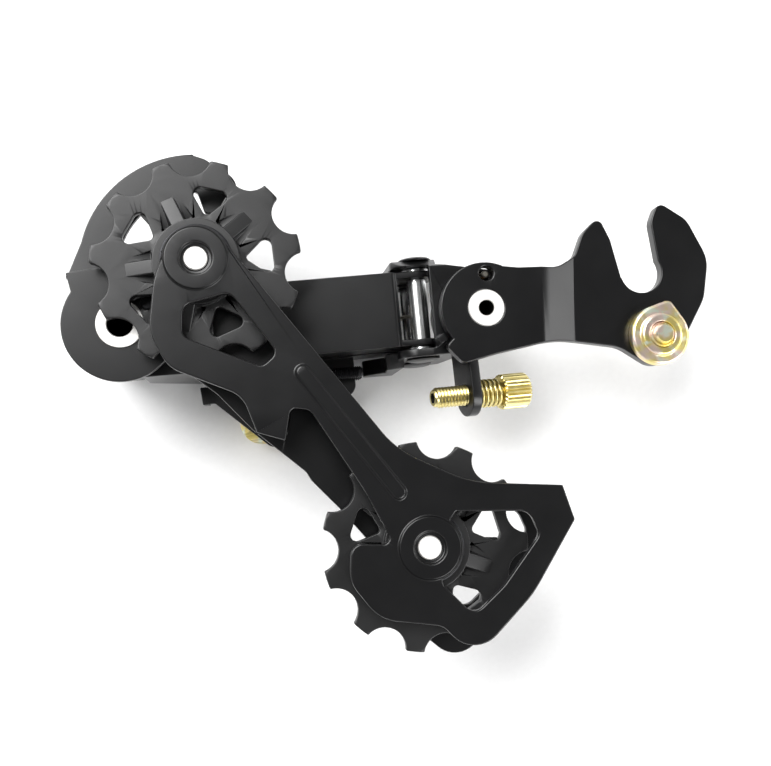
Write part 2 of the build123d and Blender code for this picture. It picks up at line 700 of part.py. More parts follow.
axle_head_top = knuckle_floor + cap_sheet + 2.6
with BuildPart() as cage_axle_bush:
    with BuildSketch(Plane.XY.offset(axle_head_top + running_gap)):
        with Locations(cage_pivot):
            Circle(axle_bush_radius)
            Circle(cage_axle_radius + running_gap, mode=Mode.SUBTRACT)
    extrude(amount=knuckle_top - axle_head_top - running_gap)
save(cage_axle_bush.part, "cage_axle_bush")

# Cage spring, drawn as a sleeve of the coil's size
with BuildPart() as cage_spring:
    with BuildSketch(Plane.XY.offset(knuckle_floor + cap_sheet + 0.2)):
        with Locations(cage_pivot):
            Circle(knuckle_cup_radius - knuckle_cup_wall - 0.7)
            Circle(axle_bush_radius + 0.8, mode=Mode.SUBTRACT)
    extrude(amount=knuckle_top - cup_roof - knuckle_floor - cap_sheet - 0.4)
save(cage_spring.part, "cage_spring")

outer_plate_top = outer_plate_z + cage_sheet
axle_ring_radius, axle_ring_height = 5.1, 0.5
with BuildPart() as cage_axle:
    with BuildSketch(Plane.XY.offset(axle_head_top)):
        with Locations(cage_pivot):
            Circle(cage_axle_radius)
    extrude(amount=outer_plate_top + axle_ring_height - axle_head_top)
    with BuildSketch(Plane.XY.offset(axle_head_top)):
        with Locations(cage_pivot):
            Circle(axle_bush_radius)
    extrude(amount=-2.2)
    with BuildSketch(Plane.XY.offset(outer_plate_top)):
        with Locations(cage_pivot):
            Circle(axle_ring_radius)
    extrude(amount=axle_ring_height)
    chamfer(cage_axle.faces().sort_by(Axis.Z)[-1].edges(), 0.2)
    with Locations(Pos(*cage_pivot, outer_plate_top + axle_ring_height)):
        Hole(cage_axle_radius - 1.2)
save(cage_axle.part, "cage_axle")

seal_thickness = 0.2
with BuildPart() as cage_pivot_washer:
    with BuildSketch(Plane.XY.offset(knuckle_top + running_gap)):
        with Locations(cage_pivot):
            Circle(axle_bush_radius + 0.8)
            Circle(cage_axle_radius + running_gap, mode=Mode.SUBTRACT)
    extrude(amount=seal_thickness)
save(cage_pivot_washer.part, "cage_pivot_washer")

# ---------------------------------------------------------------- cage

stop_pin_x = cage_pivot[0] + stop_pin_reach * cos(radians(stop_pin_turn))
stop_pin_y = cage_pivot[1] + stop_pin_reach * sin(radians(stop_pin_turn))
joggle_line = 11.9                      # the outer plate's joggle above the cage pivot
crescent_drop = 1.2
crescent_outer, crescent_inner = 25.4, 17.0
crescent_foot = 10.4                    # crescent's lower edge above the cage pivot

# Window beside the tension pulley, the same in both plates
tension_window = near(tension, [
    (5.5, 7.5, 0.5), (21.3, 7.5, 3), (23.5, 2.6, 2), (15.7, -8.0, 12), (9.3, -14.0, 2.5),
    (2.9, -7.8, 1), (0.5, 0.6, 0),
])
outer_plate_outline = (
    near(cage_pivot, [
        (-11.6, 10.8, 0.3), (-3.8, 12.2, 1), (6.7, 12.0, 1),
    ])
    + near(guide, [
        (-1.5, 2.8, 0), (5.5, 5.0, 0),
    ])
    + near(tension, [
        (-7.0, 20.6, 20), (8.5, 13.6, 25), (28.1, 12.8, 1), (30.3, 5.8, 1), (21.7, -10.2, 25),
        (7.9, -25.6, 6), (-4.0, -16.0, 8), (-8.3, -3.0, 10), (-18.0, 7.8, 3), (-24.1, 13.8, 0.8),
        (-25.3, 15.7, 0.8),
    ])
    + near(guide, [
        (12.3, -35.2, 10), (4.5, -27.4, 6), (-5.5, -20.3, 6),
    ])
    + near(cage_pivot, [
        (5.9, -8.2, 3), (0.0, -9.6, 0), (-8.3, -0.6, 0),
    ])
)
with BuildPart() as outer_cage_plate:
    with BuildSketch(Plane.XY.offset(outer_plate_z)):
        with BuildLine():
            outline(outer_plate_outline)
        make_face()
        with Locations(cage_pivot):
            Circle(cage_boss_radius)
        # The disc stops at the joggle line
        with Locations((cage_pivot[0], cage_pivot[1] + joggle_line + cage_boss_radius / 2)):
            Rectangle(2.4 * cage_boss_radius, cage_boss_radius, mode=Mode.SUBTRACT)
        with Locations(guide):
            Circle(boss_radius + 0.8)
        with BuildLine():
            outline(tension_window)
        make_face(mode=Mode.SUBTRACT)
        with Locations(tension):
            Circle(boss_radius + 0.8)
    extrude(amount=cage_sheet)
    # Crescent that keeps the chain on the guide pulley, one joggle lower
    with BuildSketch(Plane.XY.offset(outer_plate_z - crescent_drop)):
        with Locations(guide):
            Circle(crescent_outer)
            Circle(crescent_inner, mode=Mode.SUBTRACT)
        with Locations((guide[0] - 1.5 + crescent_outer, guide[1])):
            Rectangle(2 * crescent_outer, 3 * crescent_outer, mode=Mode.SUBTRACT)
        with Locations((guide[0], cage_pivot[1] + crescent_foot - crescent_outer)):
            Rectangle(4 * crescent_outer, 2 * crescent_outer, mode=Mode.SUBTRACT)
        with BuildLine():
            outline(near(guide, [
                (-2.1, 25.3, 0), (1.0, 24.4, 2), (8.5, 19.8, 4), (7.3, 12.2, 1.2),
                (1.3, 12.2, 0.8), (-0.5, 17.0, 1), (-2.1, 17.0, 0),
            ]))
        make_face()
        with BuildLine():
            outline(near(cage_pivot, [
                (-8.6, 17.9, 0), (-11.5, 10.0, 0), (0.3, 10.7, 0), (-0.5, 14.4, 0),
            ]))
        make_face()
    extrude(amount=cage_sheet)
    # Holes for the cage axle, the pulley bolts and the stop pin
    with BuildSketch():
        with Locations(cage_pivot):
            Circle(cage_axle_radius + press_gap)
        with Locations(guide, tension):
            Circle(axle_bolt_radius + press_gap)
        with Locations((stop_pin_x, stop_pin_y)):
            Circle(stop_pin_radius + press_gap)
    extrude(amount=10, mode=Mode.SUBTRACT)
save(outer_cage_plate.part, "outer_cage_plate")

with BuildPart() as cage_stop_pin:
    with BuildSketch(Plane.XY.offset(knuckle_top - 1.4)):
        with Locations((stop_pin_x, stop_pin_y)):
            Circle(stop_pin_radius)
    extrude(amount=outer_plate_top - knuckle_top + 1.4)
    with BuildSketch(Plane.XY.offset(outer_plate_top)):
        with Locations((stop_pin_x, stop_pin_y)):
            Circle(1.5)
    extrude(amount=0.5)
save(cage_stop_pin.part, "cage_stop_pin")

# Inner plate: boss at each pulley, two windows, a pressed rib and two bent chain tabs
inner_plate_outline = (
    near(guide, [
        (5.3, 4.4, 0),
    ])
    + near(tension, [
        (-7.0, 20.4, 20), (8.5, 13.6, 25), (28.6, 13.0, 0.5), (31.2, 5.7, 0.8), (22.0, -9.8, 25),
        (9.5, -23.0, 6.5), (2.7, -16.1, 4), (-10.5, -14.6, 9), (-16.8, -6.9, 7), (-16.5, 1.0, 2.5),
        (-7.5, 0.7, 1.4), (-14.0, 12.3, 30),
    ])
    + near(guide, [
        (23.9, -31.2, 2.6), (19.8, -30.8, 1.6), (18.9, -37.6, 0.3), (13.0, -36.0, 0.3),
        (9.9, -28.4, 6), (-5.1, -22.8, 7), (-9.3, -15.7, 10), (-8.5, -5.2, 12), (-6.8, 1.3, 0),
    ])
)
link_window = near(guide, [
    (-2.4, -9.9, 2.2), (7.1, -7.0, 2.4), (17.1, -19.4, 2), (13.9, -22.4, 2), (-2.5, -16.4, 2.4),
])
inner_plate_top = inner_plate_z + cage_sheet
rib_start = (guide[0] + 22.3, guide[1] - 23.5)
rib_end = (tension[0] - 6.6, tension[1] + 11.5)
rib_width, rib_height = 3.2, 0.8
boss_rise = 0.35
pocket_radius, pocket_depth = 3.4, 1.0
chain_tab_sheet = 1.6
with BuildPart() as inner_cage_plate:
    with BuildSketch(Plane.XY.offset(inner_plate_z)):
        with BuildLine():
            outline(inner_plate_outline)
        make_face()
        with Locations(guide):
            Circle(boss_radius)
        with BuildLine():
            outline(tension_window)
        make_face(mode=Mode.SUBTRACT)
        with BuildLine():
            outline(link_window)
        make_face(mode=Mode.SUBTRACT)
        with Locations(tension):
            Circle(boss_radius + 0.2)
    extrude(amount=cage_sheet)
    with BuildSketch(Plane.XY.offset(inner_plate_top)):
        with Locations(guide, tension):
            Circle(boss_radius - 0.3)
    extrude(amount=boss_rise)
    with BuildSketch(Plane.XY.offset(inner_plate_top)):
        with BuildLine():
            rib_line = Line(rib_start, rib_end)
        SlotCenterPoint(rib_line @ 0.5, rib_line @ 1, rib_width)
    extrude(amount=rib_height, taper=20)
    # Chain tabs, bent outboard from the edge
    for place, start, run, inward, reach in (
        (tension, (28.8, 12.9), (2.4, -7.0), -1, 4.6),
        (guide, (13.2, -35.9), (5.5, -1.6), 1, 3.6),
    ):
        corner = (place[0] + start[0], place[1] + start[1], inner_plate_z)
        width = Vector(*run).length
        with BuildSketch(Plane(origin=corner, x_dir=Vector(*run))):
            with Locations((width / 2, inward * chain_tab_sheet / 2)):
                Rectangle(width, chain_tab_sheet)
        extrude(amount=-reach)
    with BuildSketch(Plane.XY.offset(inner_plate_top + boss_rise - pocket_depth)):
        with Locations(guide, tension):
            Circle(pocket_radius)
    extrude(amount=2, mode=Mode.SUBTRACT)
    with BuildSketch(Plane.XY.offset(inner_plate_z)):
        with Locations(guide, tension):
            Circle(axle_bolt_radius + press_gap)
    extrude(amount=3, mode=Mode.SUBTRACT)
save(inner_cage_plate.part, "inner_cage_plate")

# ---------------------------------------------------------------- pulleys and their axles

pulley_middle = (outer_plate_top + inner_plate_z) / 2
cap_gap = 0.1
window_count = 5
window_reach = 13.6
with BuildSketch() as pulley_window:
    with BuildLine():
        outline([(-3.6, 0, 1.0), (2.6, -5.2, 1.4), (2.6, 5.2, 1.4)])
    make_face()


def pulley(centre, window_turn, tooth_turn, name):
    """A moulded chain pulley with a toothed rim, five windows and a hub."""
    with BuildPart() as wheel:
        with BuildSketch(Plane.XY.offset(pulley_middle)):
            with Locations(centre):
                Circle(pulley_tip_radius)
                with PolarLocations(pulley_root_radius + tooth_gap_radius, pulley_teeth,
                                    start_angle=tooth_turn + 180 / pulley_teeth):
                    Circle(tooth_gap_radius, mode=Mode.SUBTRACT)
                with PolarLocations(window_reach, window_count, start_angle=window_turn):
                    add(pulley_window.sketch, mode=Mode.SUBTRACT)
        extrude(amount=pulley_rim_width / 2, both=True)
        with BuildSketch(Plane.XY.offset(pulley_middle)):
            with Locations(centre):
                Circle(pulley_hub_radius)
        extrude(amount=pulley_hub_width / 2, both=True)
        with BuildSketch(Plane.XY.offset(pulley_middle)):
            with Locations(centre):
                Circle(bush_radius + running_gap)
        extrude(amount=pulley_hub_width, both=True, mode=Mode.SUBTRACT)
    save(wheel.part, name)


def pulley_bush(centre, name):
    """The steel bush that a pulley turns on, clamped between the cage plates."""
    with BuildPart() as bush:
        with BuildSketch(Plane.XY.offset(outer_plate_top + press_gap)):
            with Locations(centre):
                Circle(bush_radius)
                Circle(axle_bolt_radius + running_gap, mode=Mode.SUBTRACT)
        extrude(amount=inner_plate_z - outer_plate_top - 2 * press_gap)
    save(bush.part, name)


def dust_caps(centre, name):
    """The two thin caps that cover a pulley's bush, one on each side."""
    with BuildPart() as caps:
        height = (inner_plate_z - outer_plate_top - pulley_hub_width) / 2 - cap_gap - press_gap
        for start in (outer_plate_top + press_gap,
                      pulley_middle + pulley_hub_width / 2 + cap_gap):
            with BuildSketch(Plane.XY.offset(start)):
                with Locations(centre):
                    Circle(dust_cap_radius)
                    Circle(bush_radius + press_gap, mode=Mode.SUBTRACT)
            extrude(amount=height)
    save(caps.part, name)


def axle_bolt(centre, name):
    """The button-head bolt through both cage plates and a pulley's bush."""
    with BuildPart() as bolt:
        with BuildSketch(Plane.XY.offset(outer_plate_z)):
            with Locations(centre):
                Circle(axle_head_radius)
        extrude(amount=-axle_head_height)
        chamfer(bolt.faces().sort_by(Axis.Z)[0].edges(), 0.7)
        with BuildSketch(Plane.XY.offset(outer_plate_z)):
            with Locations(centre):
                Circle(axle_bolt_radius)
        extrude(amount=inner_plate_top - 0.1 - outer_plate_z)
        chamfer(bolt.faces().sort_by(Axis.Z)[-1].edges(), 0.3)
        with BuildSketch(Plane.XY.offset(outer_plate_z - axle_head_height)):
            with Locations(centre):
                RegularPolygon(1.5, 6, major_radius=False)
        extrude(amount=2.4, mode=Mode.SUBTRACT)
    save(bolt.part, name)


pulley(guide, 7.8, 12.9, "guide_pulley")
pulley(tension, 18.0, 67.5, "tension_pulley")
for place, kind in ((guide, "guide"), (tension, "tension")):
    pulley_bush(place, f"{kind}_pulley_bush")
    dust_caps(place, f"{kind}_dust_caps")
    axle_bolt(place, f"{kind}_axle_bolt")
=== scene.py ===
"""Rear bicycle derailleur: pressed-steel linkage, long cage, two pulleys and a bolt-on axle claw.

The part lies on a pale table with its outboard side down. The frame's z axis is inboard, along
the pivot bolts. Sizes are written in millimetres and turned to metres where they are used.
"""
import json
from math import cos, pi, radians

import bmesh
import bpy
from mathutils import Matrix, Vector


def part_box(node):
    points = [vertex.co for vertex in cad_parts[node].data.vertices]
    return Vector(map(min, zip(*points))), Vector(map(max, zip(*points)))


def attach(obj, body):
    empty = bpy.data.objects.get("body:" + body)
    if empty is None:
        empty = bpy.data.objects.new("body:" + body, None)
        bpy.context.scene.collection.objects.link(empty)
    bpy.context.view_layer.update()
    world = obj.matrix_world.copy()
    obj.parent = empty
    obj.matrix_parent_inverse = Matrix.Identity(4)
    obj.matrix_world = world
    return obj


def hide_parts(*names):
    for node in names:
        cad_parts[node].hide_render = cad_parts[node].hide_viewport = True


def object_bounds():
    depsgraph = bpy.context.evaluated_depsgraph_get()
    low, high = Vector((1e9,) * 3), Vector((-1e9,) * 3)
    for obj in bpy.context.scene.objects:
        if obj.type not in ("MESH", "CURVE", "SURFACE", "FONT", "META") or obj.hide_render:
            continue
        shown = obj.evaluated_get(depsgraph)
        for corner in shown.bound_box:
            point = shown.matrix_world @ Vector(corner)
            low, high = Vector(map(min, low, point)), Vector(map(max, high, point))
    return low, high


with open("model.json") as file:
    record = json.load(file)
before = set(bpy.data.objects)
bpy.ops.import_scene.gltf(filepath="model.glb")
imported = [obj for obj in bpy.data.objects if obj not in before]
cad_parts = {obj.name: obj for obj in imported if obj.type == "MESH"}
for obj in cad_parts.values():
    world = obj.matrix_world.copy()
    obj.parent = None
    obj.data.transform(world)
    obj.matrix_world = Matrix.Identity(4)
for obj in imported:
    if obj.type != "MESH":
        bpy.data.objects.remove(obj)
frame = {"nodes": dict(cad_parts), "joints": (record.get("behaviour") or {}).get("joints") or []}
cad_low, cad_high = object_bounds()
joints = {joint["name"]: joint for joint in frame["joints"]}

# ---------------------------------------------------------------- camera
# A long lens straight above the table, a little to the tail of the part and turned slightly, so
# that the inboard faces are seen nearly flat on.
MM = 0.001
bpy.ops.object.select_all(action="DESELECT")
bpy.ops.object.camera_add(location=(-90.81 * MM, -46.52 * MM, 234.34 * MM))
camera = bpy.context.active_object
camera.name = "camera"
camera.rotation_mode = "QUATERNION"
camera.rotation_quaternion = Matrix((
    (0.99184, -0.01053, -0.12707),
    (0.0, 0.99663, -0.08258),
    (0.1275, 0.0819, 0.9885),
)).to_quaternion()
picture_width, focal_length = 771, 1050         # in one unit, so only their ratio counts
camera.data.sensor_width = 36.0
camera.data.lens = focal_length / picture_width * camera.data.sensor_width
camera.data.clip_start, camera.data.clip_end = 0.01, 20.0
bpy.context.scene.camera = camera

# ---------------------------------------------------------------- table and light
# Matt white card under the part, one large soft box above its tail, two fills and a pale room,
# so that black paint takes a long soft sheen and the card stays white round a faint shadow.


def linear(code):
    """An sRGB hex colour as linear red, green, blue and alpha."""
    parts = [int(code[i:i + 2], 16) / 255 for i in (1, 3, 5)]
    return [p / 12.92 if p <= 0.04045 else ((p + 0.055) / 1.055) ** 2.4 for p in parts] + [1.0]


def add_node(finish, kind, inputs=None, **settings):
    """Add a node to a material with its settings, and set or link its inputs."""
    made = finish.node_tree.nodes.new(kind)
    for key, value in settings.items():
        setattr(made, key, value)
    for key, value in (inputs or {}).items():
        if isinstance(value, bpy.types.NodeSocket):
            finish.node_tree.links.new(value, made.inputs[key])
        else:
            made.inputs[key].default_value = value
    return made


def start_finish(name, **sockets):
    """A new material, its shader with these sockets set, and its object coordinates."""
    finish = bpy.data.materials.new(name)
    finish.use_nodes = True
    shader = finish.node_tree.nodes["Principled BSDF"]
    for key, value in sockets.items():
        shader.inputs[key.replace("_", " ")].default_value = value
    place = add_node(finish, "ShaderNodeTexCoord").outputs["Object"]
    return finish, shader, place


def feed(finish, output, shader, socket):
    """Link a pattern's output to one of the shader's sockets."""
    finish.node_tree.links.new(output, shader.inputs[socket])


card, card_shader, card_place = start_finish("matt_white_card", Roughness=0.92)
card_fibre = add_node(card, "ShaderNodeTexNoise", {
    "Vector": card_place, "Scale": 1 / (1.5 * MM), "Detail": 3.0})      # fibre clumps of 1.5 mm
card_tone = add_node(card, "ShaderNodeMix", {
    0: card_fibre.outputs[0], 6: linear("#f1f1f1"), 7: linear("#f8f8f8")}, data_type="RGBA")
feed(card, card_tone.outputs[2], card_shader, "Base Color")

table_width, table_gap = 1.8, 0.3 * MM
bpy.ops.mesh.primitive_plane_add(
    size=table_width, location=(-0.06, -0.03, cad_low.z - table_gap))
table = bpy.context.active_object
table.name = "table"
table.data.materials.append(card)

lit_place = Vector((-0.07, -0.03, 0.0))         # the middle of the part
for name, place, size, power in (
    ("soft_box", (-0.50, 0.42, 0.72), 0.70, 15.5),
    ("fill_box", (0.75, -0.85, 0.8), 0.8, 14.0),
    ("side_box", (0.85, 0.10, 0.55), 0.4, 2.6),
):
    bpy.ops.object.light_add(type="AREA", location=place)
    light = bpy.context.active_object
    light.name = name
    light.data.size = size
    light.data.energy = power
    light.rotation_mode = "QUATERNION"
    aim = lit_place - Vector(place)
    light.rotation_quaternion = aim.to_track_quat("-Z", "Y")

room = bpy.data.worlds.new("pale_room")
room.use_nodes = True
room_way = add_node(room, "ShaderNodeTexCoord").outputs["Generated"]
room_height = add_node(room, "ShaderNodeSeparateXYZ", {0: room_way}).outputs["Z"]
horizon_light, zenith_light, zenith_from = 0.95, 0.14, 0.75
room_tone = add_node(room, "ShaderNodeMapRange", {
    0: room_height, 2: zenith_from, 3: horizon_light, 4: zenith_light})
room.node_tree.links.new(
    room_tone.outputs[0], room.node_tree.nodes["Background"].inputs["Strength"])
room.node_tree.nodes["Background"].inputs["Color"].default_value = (1.0, 1.0, 1.0, 1.0)
bpy.context.scene.world = room
bpy.context.scene.view_settings.view_transform = "Standard"

# ---------------------------------------------------------------- claw
# The flat steel hanger that the wheel's axle clamps in the dropout: one pressing with a step in
# its neck, sheared edges rounded in the tumbler, powder-coated satin black.


def only(piece):
    """Make one piece the only one that is selected, and the active one."""
    bpy.ops.object.select_all(action="DESELECT")
    piece.select_set(True)
    bpy.context.view_layer.objects.active = piece


def smooth(piece, angle=35):
    """Shade the faces that meet below an angle as one, and keep flat faces flat."""
    only(piece)
    bpy.ops.object.shade_smooth_by_angle(angle=radians(angle))
    bpy.ops.object.modifier_add(type="WEIGHTED_NORMAL")
    piece.modifiers[-1].keep_sharp = True
    bpy.ops.object.modifier_apply(modifier=piece.modifiers[-1].name)


def cut(piece, cutter, how="DIFFERENCE"):
    """Cut a piece with a cutter, which is used up."""
    only(piece)
    bpy.ops.object.modifier_add(type="BOOLEAN")
    boolean = piece.modifiers[-1]
    boolean.operation, boolean.object, boolean.solver = how, cutter, "EXACT"
    bpy.ops.object.modifier_apply(modifier=boolean.name)
    bpy.data.objects.remove(cutter)
    return piece


def pressing(node, name, edge=0.22, segments=2, cutters=()):
    """A copy of a CAD piece, merged, trimmed by cutters, its edges rounded over, in mm."""
    only(frame["nodes"][node])
    bpy.ops.object.duplicate()
    piece = bpy.context.active_object
    for key in list(piece.keys()):
        del piece[key]
    piece.parent = None
    piece.name = piece.data.name = name
    bpy.ops.object.mode_set(mode="EDIT")
    bpy.ops.mesh.select_all(action="SELECT")
    bpy.ops.mesh.remove_doubles(threshold=0.001 * MM)
    bpy.ops.object.mode_set(mode="OBJECT")
    for cutter in cutters:
        cut(piece, cutter)
    only(piece)
    bpy.ops.object.modifier_add(type="BEVEL")
    bevel = piece.modifiers[-1]
    bevel.width, bevel.segments = edge * MM, segments
    bevel.limit_method, bevel.angle_limit = "ANGLE", radians(40)
    bevel.use_clamp_overlap = bevel.loop_slide = False
    bpy.ops.object.modifier_apply(modifier=bevel.name)
    smooth(piece)
    return piece


def coat(piece, finish):
    """Give a piece one material in all its slots."""
    if not piece.material_slots:
        piece.data.materials.append(finish)
    for place in piece.material_slots:
        place.material = finish


def fit(piece, body, finish, slot, *nodes):
    """Coat a piece, hang it on its body and hide the CAD nodes it stands in for."""
    coat(piece, finish)
    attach(piece, body)
    if nodes:
        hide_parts(*nodes)


# Powder coat over steel: nearly black, with the soft sheen and faint orange peel of baked powder
black_paint, paint_shader, paint_place = start_finish(
    "satin_black_powder_coat_on_pressed_steel", IOR=1.5)
paint_cloud = add_node(black_paint, "ShaderNodeTexNoise", {
    "Vector": paint_place, "Scale": 1 / (9 * MM), "Detail": 3.0})       # drift of the film, 9 mm
paint_tone = add_node(black_paint, "ShaderNodeMix", {
    0: paint_cloud.outputs[0], 6: linear("#050506"), 7: linear("#0a0a0b")}, data_type="RGBA")
feed(black_paint, paint_tone.outputs[2], paint_shader, "Base Color")
paint_sheen = add_node(black_paint, "ShaderNodeMapRange", {
    0: paint_cloud.outputs[0], 3: 0.27, 4: 0.34})
feed(black_paint, paint_sheen.outputs[0], paint_shader, "Roughness")
# Orange peel of 0.5 mm, drawn twice as coarse as the real film so that it shows
paint_peel = add_node(black_paint, "ShaderNodeTexNoise", {
    "Vector": paint_place, "Scale": 1 / (1.0 * MM), "Detail": 2.0})
paint_bump = add_node(black_paint, "ShaderNodeBump", {
    "Height": paint_peel.outputs[0], "Strength": 0.25, "Distance": 0.02 * MM})
feed(black_paint, paint_bump.outputs[0], paint_shader, "Normal")

claw = pressing("claw_hanger", "axle_claw", edge=0.3, segments=3)
fit(claw, "claw", black_paint, "black_paint", "claw_hanger")

# ---------------------------------------------------------------- claw's bolt and nut
# A hexagon bolt with rolled thread and the shaped nut that lies in the dropout, both of mild
# steel, yellow zinc plated, which leaves a straw colour with rainbow drift.


def close(piece):
    """Merge a piece's doubled corners and point its faces outwards. Leaves edit mode."""
    if bpy.context.mode != "EDIT_MESH":
        only(piece)
        bpy.ops.object.mode_set(mode="EDIT")
    bpy.ops.mesh.select_all(action="SELECT")
    bpy.ops.mesh.remove_doubles(threshold=0.0005 * MM)
    bpy.ops.mesh.normals_make_consistent(inside=False)
    bpy.ops.object.mode_set(mode="OBJECT")


def turned(name, rings, sides=48, hollow=False):
    """A piece turned on the z axis, drawn ring by ring from (height, radius) pairs in mm."""
    bpy.ops.object.select_all(action="DESELECT")
    height, radius = rings[0]
    bpy.ops.mesh.primitive_circle_add(
        vertices=sides, radius=radius * MM, fill_type="NOTHING" if hollow else "NGON",
        location=(0, 0, height * MM))
    piece = bpy.context.active_object
    piece.name = piece.data.name = name
    bpy.ops.object.mode_set(mode="EDIT")
    bpy.ops.mesh.select_all(action="SELECT")
    for next_height, next_radius in rings[1:]:
        bpy.ops.mesh.extrude_region_move(
            TRANSFORM_OT_translate={"value": (0, 0, (next_height - height) * MM)})
        grown = next_radius / radius
        bpy.ops.transform.resize(value=(grown, grown, 1), center_override=(0, 0, 0))
        height, radius = next_height, next_radius
    close(piece)
    bpy.ops.object.transform_apply()
    return piece


def coil(name, radius, wire, rise, turns, start=0.0, sides=10, steps=28, squash=1.0):
    """A helix of wire round the z axis, or a thread's ridge from a four-sided wire, in mm."""
    bpy.ops.object.select_all(action="DESELECT")
    bpy.ops.mesh.primitive_circle_add(
        vertices=sides, radius=wire * MM, rotation=(pi / 2, 0, 0),
        location=(radius * MM, 0, start * MM))
    piece = bpy.context.active_object
    piece.name = piece.data.name = name
    bpy.ops.transform.resize(value=(squash, 1, 1))
    bpy.ops.object.transform_apply()
    bpy.ops.object.modifier_add(type="SCREW")
    winding = piece.modifiers[-1]
    winding.angle, winding.screw_offset = 2 * pi * turns, rise * turns * MM
    winding.steps = winding.render_steps = int(steps * turns)
    bpy.ops.object.modifier_apply(modifier=winding.name)
    bpy.ops.object.mode_set(mode="EDIT")
    bpy.ops.mesh.select_all(action="SELECT")
    bpy.ops.mesh.fill_holes(sides=sides)
    close(piece)
    return piece


def joined(name, *pieces):
    """Several shells as one piece."""
    only(pieces[0])
    for piece in pieces:
        piece.select_set(True)
    bpy.ops.object.join()
    pieces[0].name = pieces[0].data.name = name
    return pieces[0]


def stand(piece, foot, axis=(0, 0, 1), turn=0.0):
    """Turn a piece's z axis along an axis, move its foot to a place, and apply both."""
    piece.rotation_mode = "QUATERNION"
    about = Matrix.Rotation(radians(turn), 4, "Z").to_quaternion()
    piece.rotation_quaternion = Vector((0, 0, 1)).rotation_difference(Vector(axis)) @ about
    piece.location = foot
    only(piece)
    bpy.ops.object.transform_apply()
    return piece


def hexagon(name, flats, bottom, top, chamfer=0.5):
    """A hexagon bar end, its corners turned off by a chamfer at both ends, in mm."""
    corner = flats / 2 / cos(pi / 6)
    bar = turned(name, [(bottom, corner), (top, corner)], sides=6)
    cone = turned("cone", [
        (bottom, flats / 2 - 0.1), (bottom + chamfer, corner + 0.02),
        (top - chamfer, corner + 0.02), (top, flats / 2 - 0.1)], sides=64)
    return cut(bar, cone, "INTERSECT")


# Yellow zinc: straw-gold plating that drifts to rose and pale green on the broad pressed faces
yellow_zinc, gold_shader, gold_place = start_finish(
    "yellow_chromate_zinc_plate_on_steel", Metallic=1.0)
gold_drift = add_node(yellow_zinc, "ShaderNodeTexNoise", {
    "Vector": gold_place, "Scale": 1 / (4 * MM), "Detail": 2.0})        # rainbow bands of 4 mm
gold_rose = add_node(yellow_zinc, "ShaderNodeMapRange", {
    0: gold_drift.outputs[0], 1: 0.42, 2: 0.62}, interpolation_type="SMOOTHSTEP")
gold_tone = add_node(yellow_zinc, "ShaderNodeMix", {
    0: gold_rose.outputs[0], 6: linear("#eddc8a"), 7: linear("#f2ddd0")}, data_type="RGBA")
gold_second = add_node(yellow_zinc, "ShaderNodeTexNoise", {
    "Vector": gold_place, "Scale": 1 / (2.6 * MM), "Detail": 2.0, "Distortion": 0.6})
gold_green = add_node(yellow_zinc, "ShaderNodeMapRange", {
    0: gold_second.outputs[0], 1: 0.5, 2: 0.7}, interpolation_type="SMOOTHSTEP")
gold_mixed = add_node(yellow_zinc, "ShaderNodeMix", {
    0: gold_green.outputs[0], 6: gold_tone.outputs[2], 7: linear("#e8efdc")}, data_type="RGBA")
feed(yellow_zinc, gold_mixed.outputs[2], gold_shader, "Base Color")
gold_wear = add_node(yellow_zinc, "ShaderNodeMapRange", {
    0: gold_second.outputs[0], 3: 0.3, 4: 0.42})
feed(yellow_zinc, gold_wear.outputs[0], gold_shader, "Roughness")

bolt_low, bolt_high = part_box("frame_fixing_bolt")
fixing = Vector(((bolt_low.x + bolt_high.x) / 2, (bolt_low.y + bolt_high.y) / 2, 0))
fixing_flats, fixing_head_end, claw_back = 10.0, -6.8, -3.2
fixing_radius, fixing_core, fixing_pitch = 2.9, 2.62, 1.0
fixing_head = hexagon("fixing_head", fixing_flats, fixing_head_end, claw_back, 0.6)
fixing_shank = turned("fixing_shank", [
    (claw_back - 0.6, fixing_radius), (-0.6, fixing_radius), (-0.2, fixing_core),
    (4.0, fixing_core), (5.2, 1.9)])
fixing_thread = coil("fixing_thread", fixing_core, fixing_pitch / 2, fixing_pitch, 3.9,
                     start=-0.1, sides=4, squash=0.66)
fixing_bolt = joined("claw_fixing_bolt", fixing_head, fixing_shank, fixing_thread)
smooth(stand(fixing_bolt, fixing))
fit(fixing_bolt, "claw", yellow_zinc, "yellow_zinc", "frame_fixing_bolt")

fixing_nut = pressing("frame_fixing_nut", "claw_fixing_nut", edge=0.25, segments=3)
fit(fixing_nut, "claw", yellow_zinc, "yellow_zinc", "frame_fixing_nut")

# ---------------------------------------------------------------- mounting bolt
# The steel stud that carries the whole part, bright zinc plated, its end peened flush with the
# claw's eye and bored, with a hexagon behind the spring cup.
bright_zinc, zinc_shader, zinc_place = start_finish(
    "bright_zinc_plate_on_turned_steel", Metallic=1.0, Roughness=0.26)
zinc_grain = add_node(bright_zinc, "ShaderNodeTexNoise", {
    "Vector": zinc_place, "Scale": 1 / (0.8 * MM), "Detail": 3.0})      # plating grain of 0.8 mm
zinc_tone = add_node(bright_zinc, "ShaderNodeMix", {
    0: zinc_grain.outputs[0], 6: linear("#d2d5d7"), 7: linear("#f0f0ee")}, data_type="RGBA")
feed(bright_zinc, zinc_tone.outputs[2], zinc_shader, "Base Color")
zinc_bump = add_node(bright_zinc, "ShaderNodeBump", {
    "Height": zinc_grain.outputs[0], "Strength": 0.3, "Distance": 0.01 * MM})
feed(bright_zinc, zinc_bump.outputs[0], zinc_shader, "Normal")

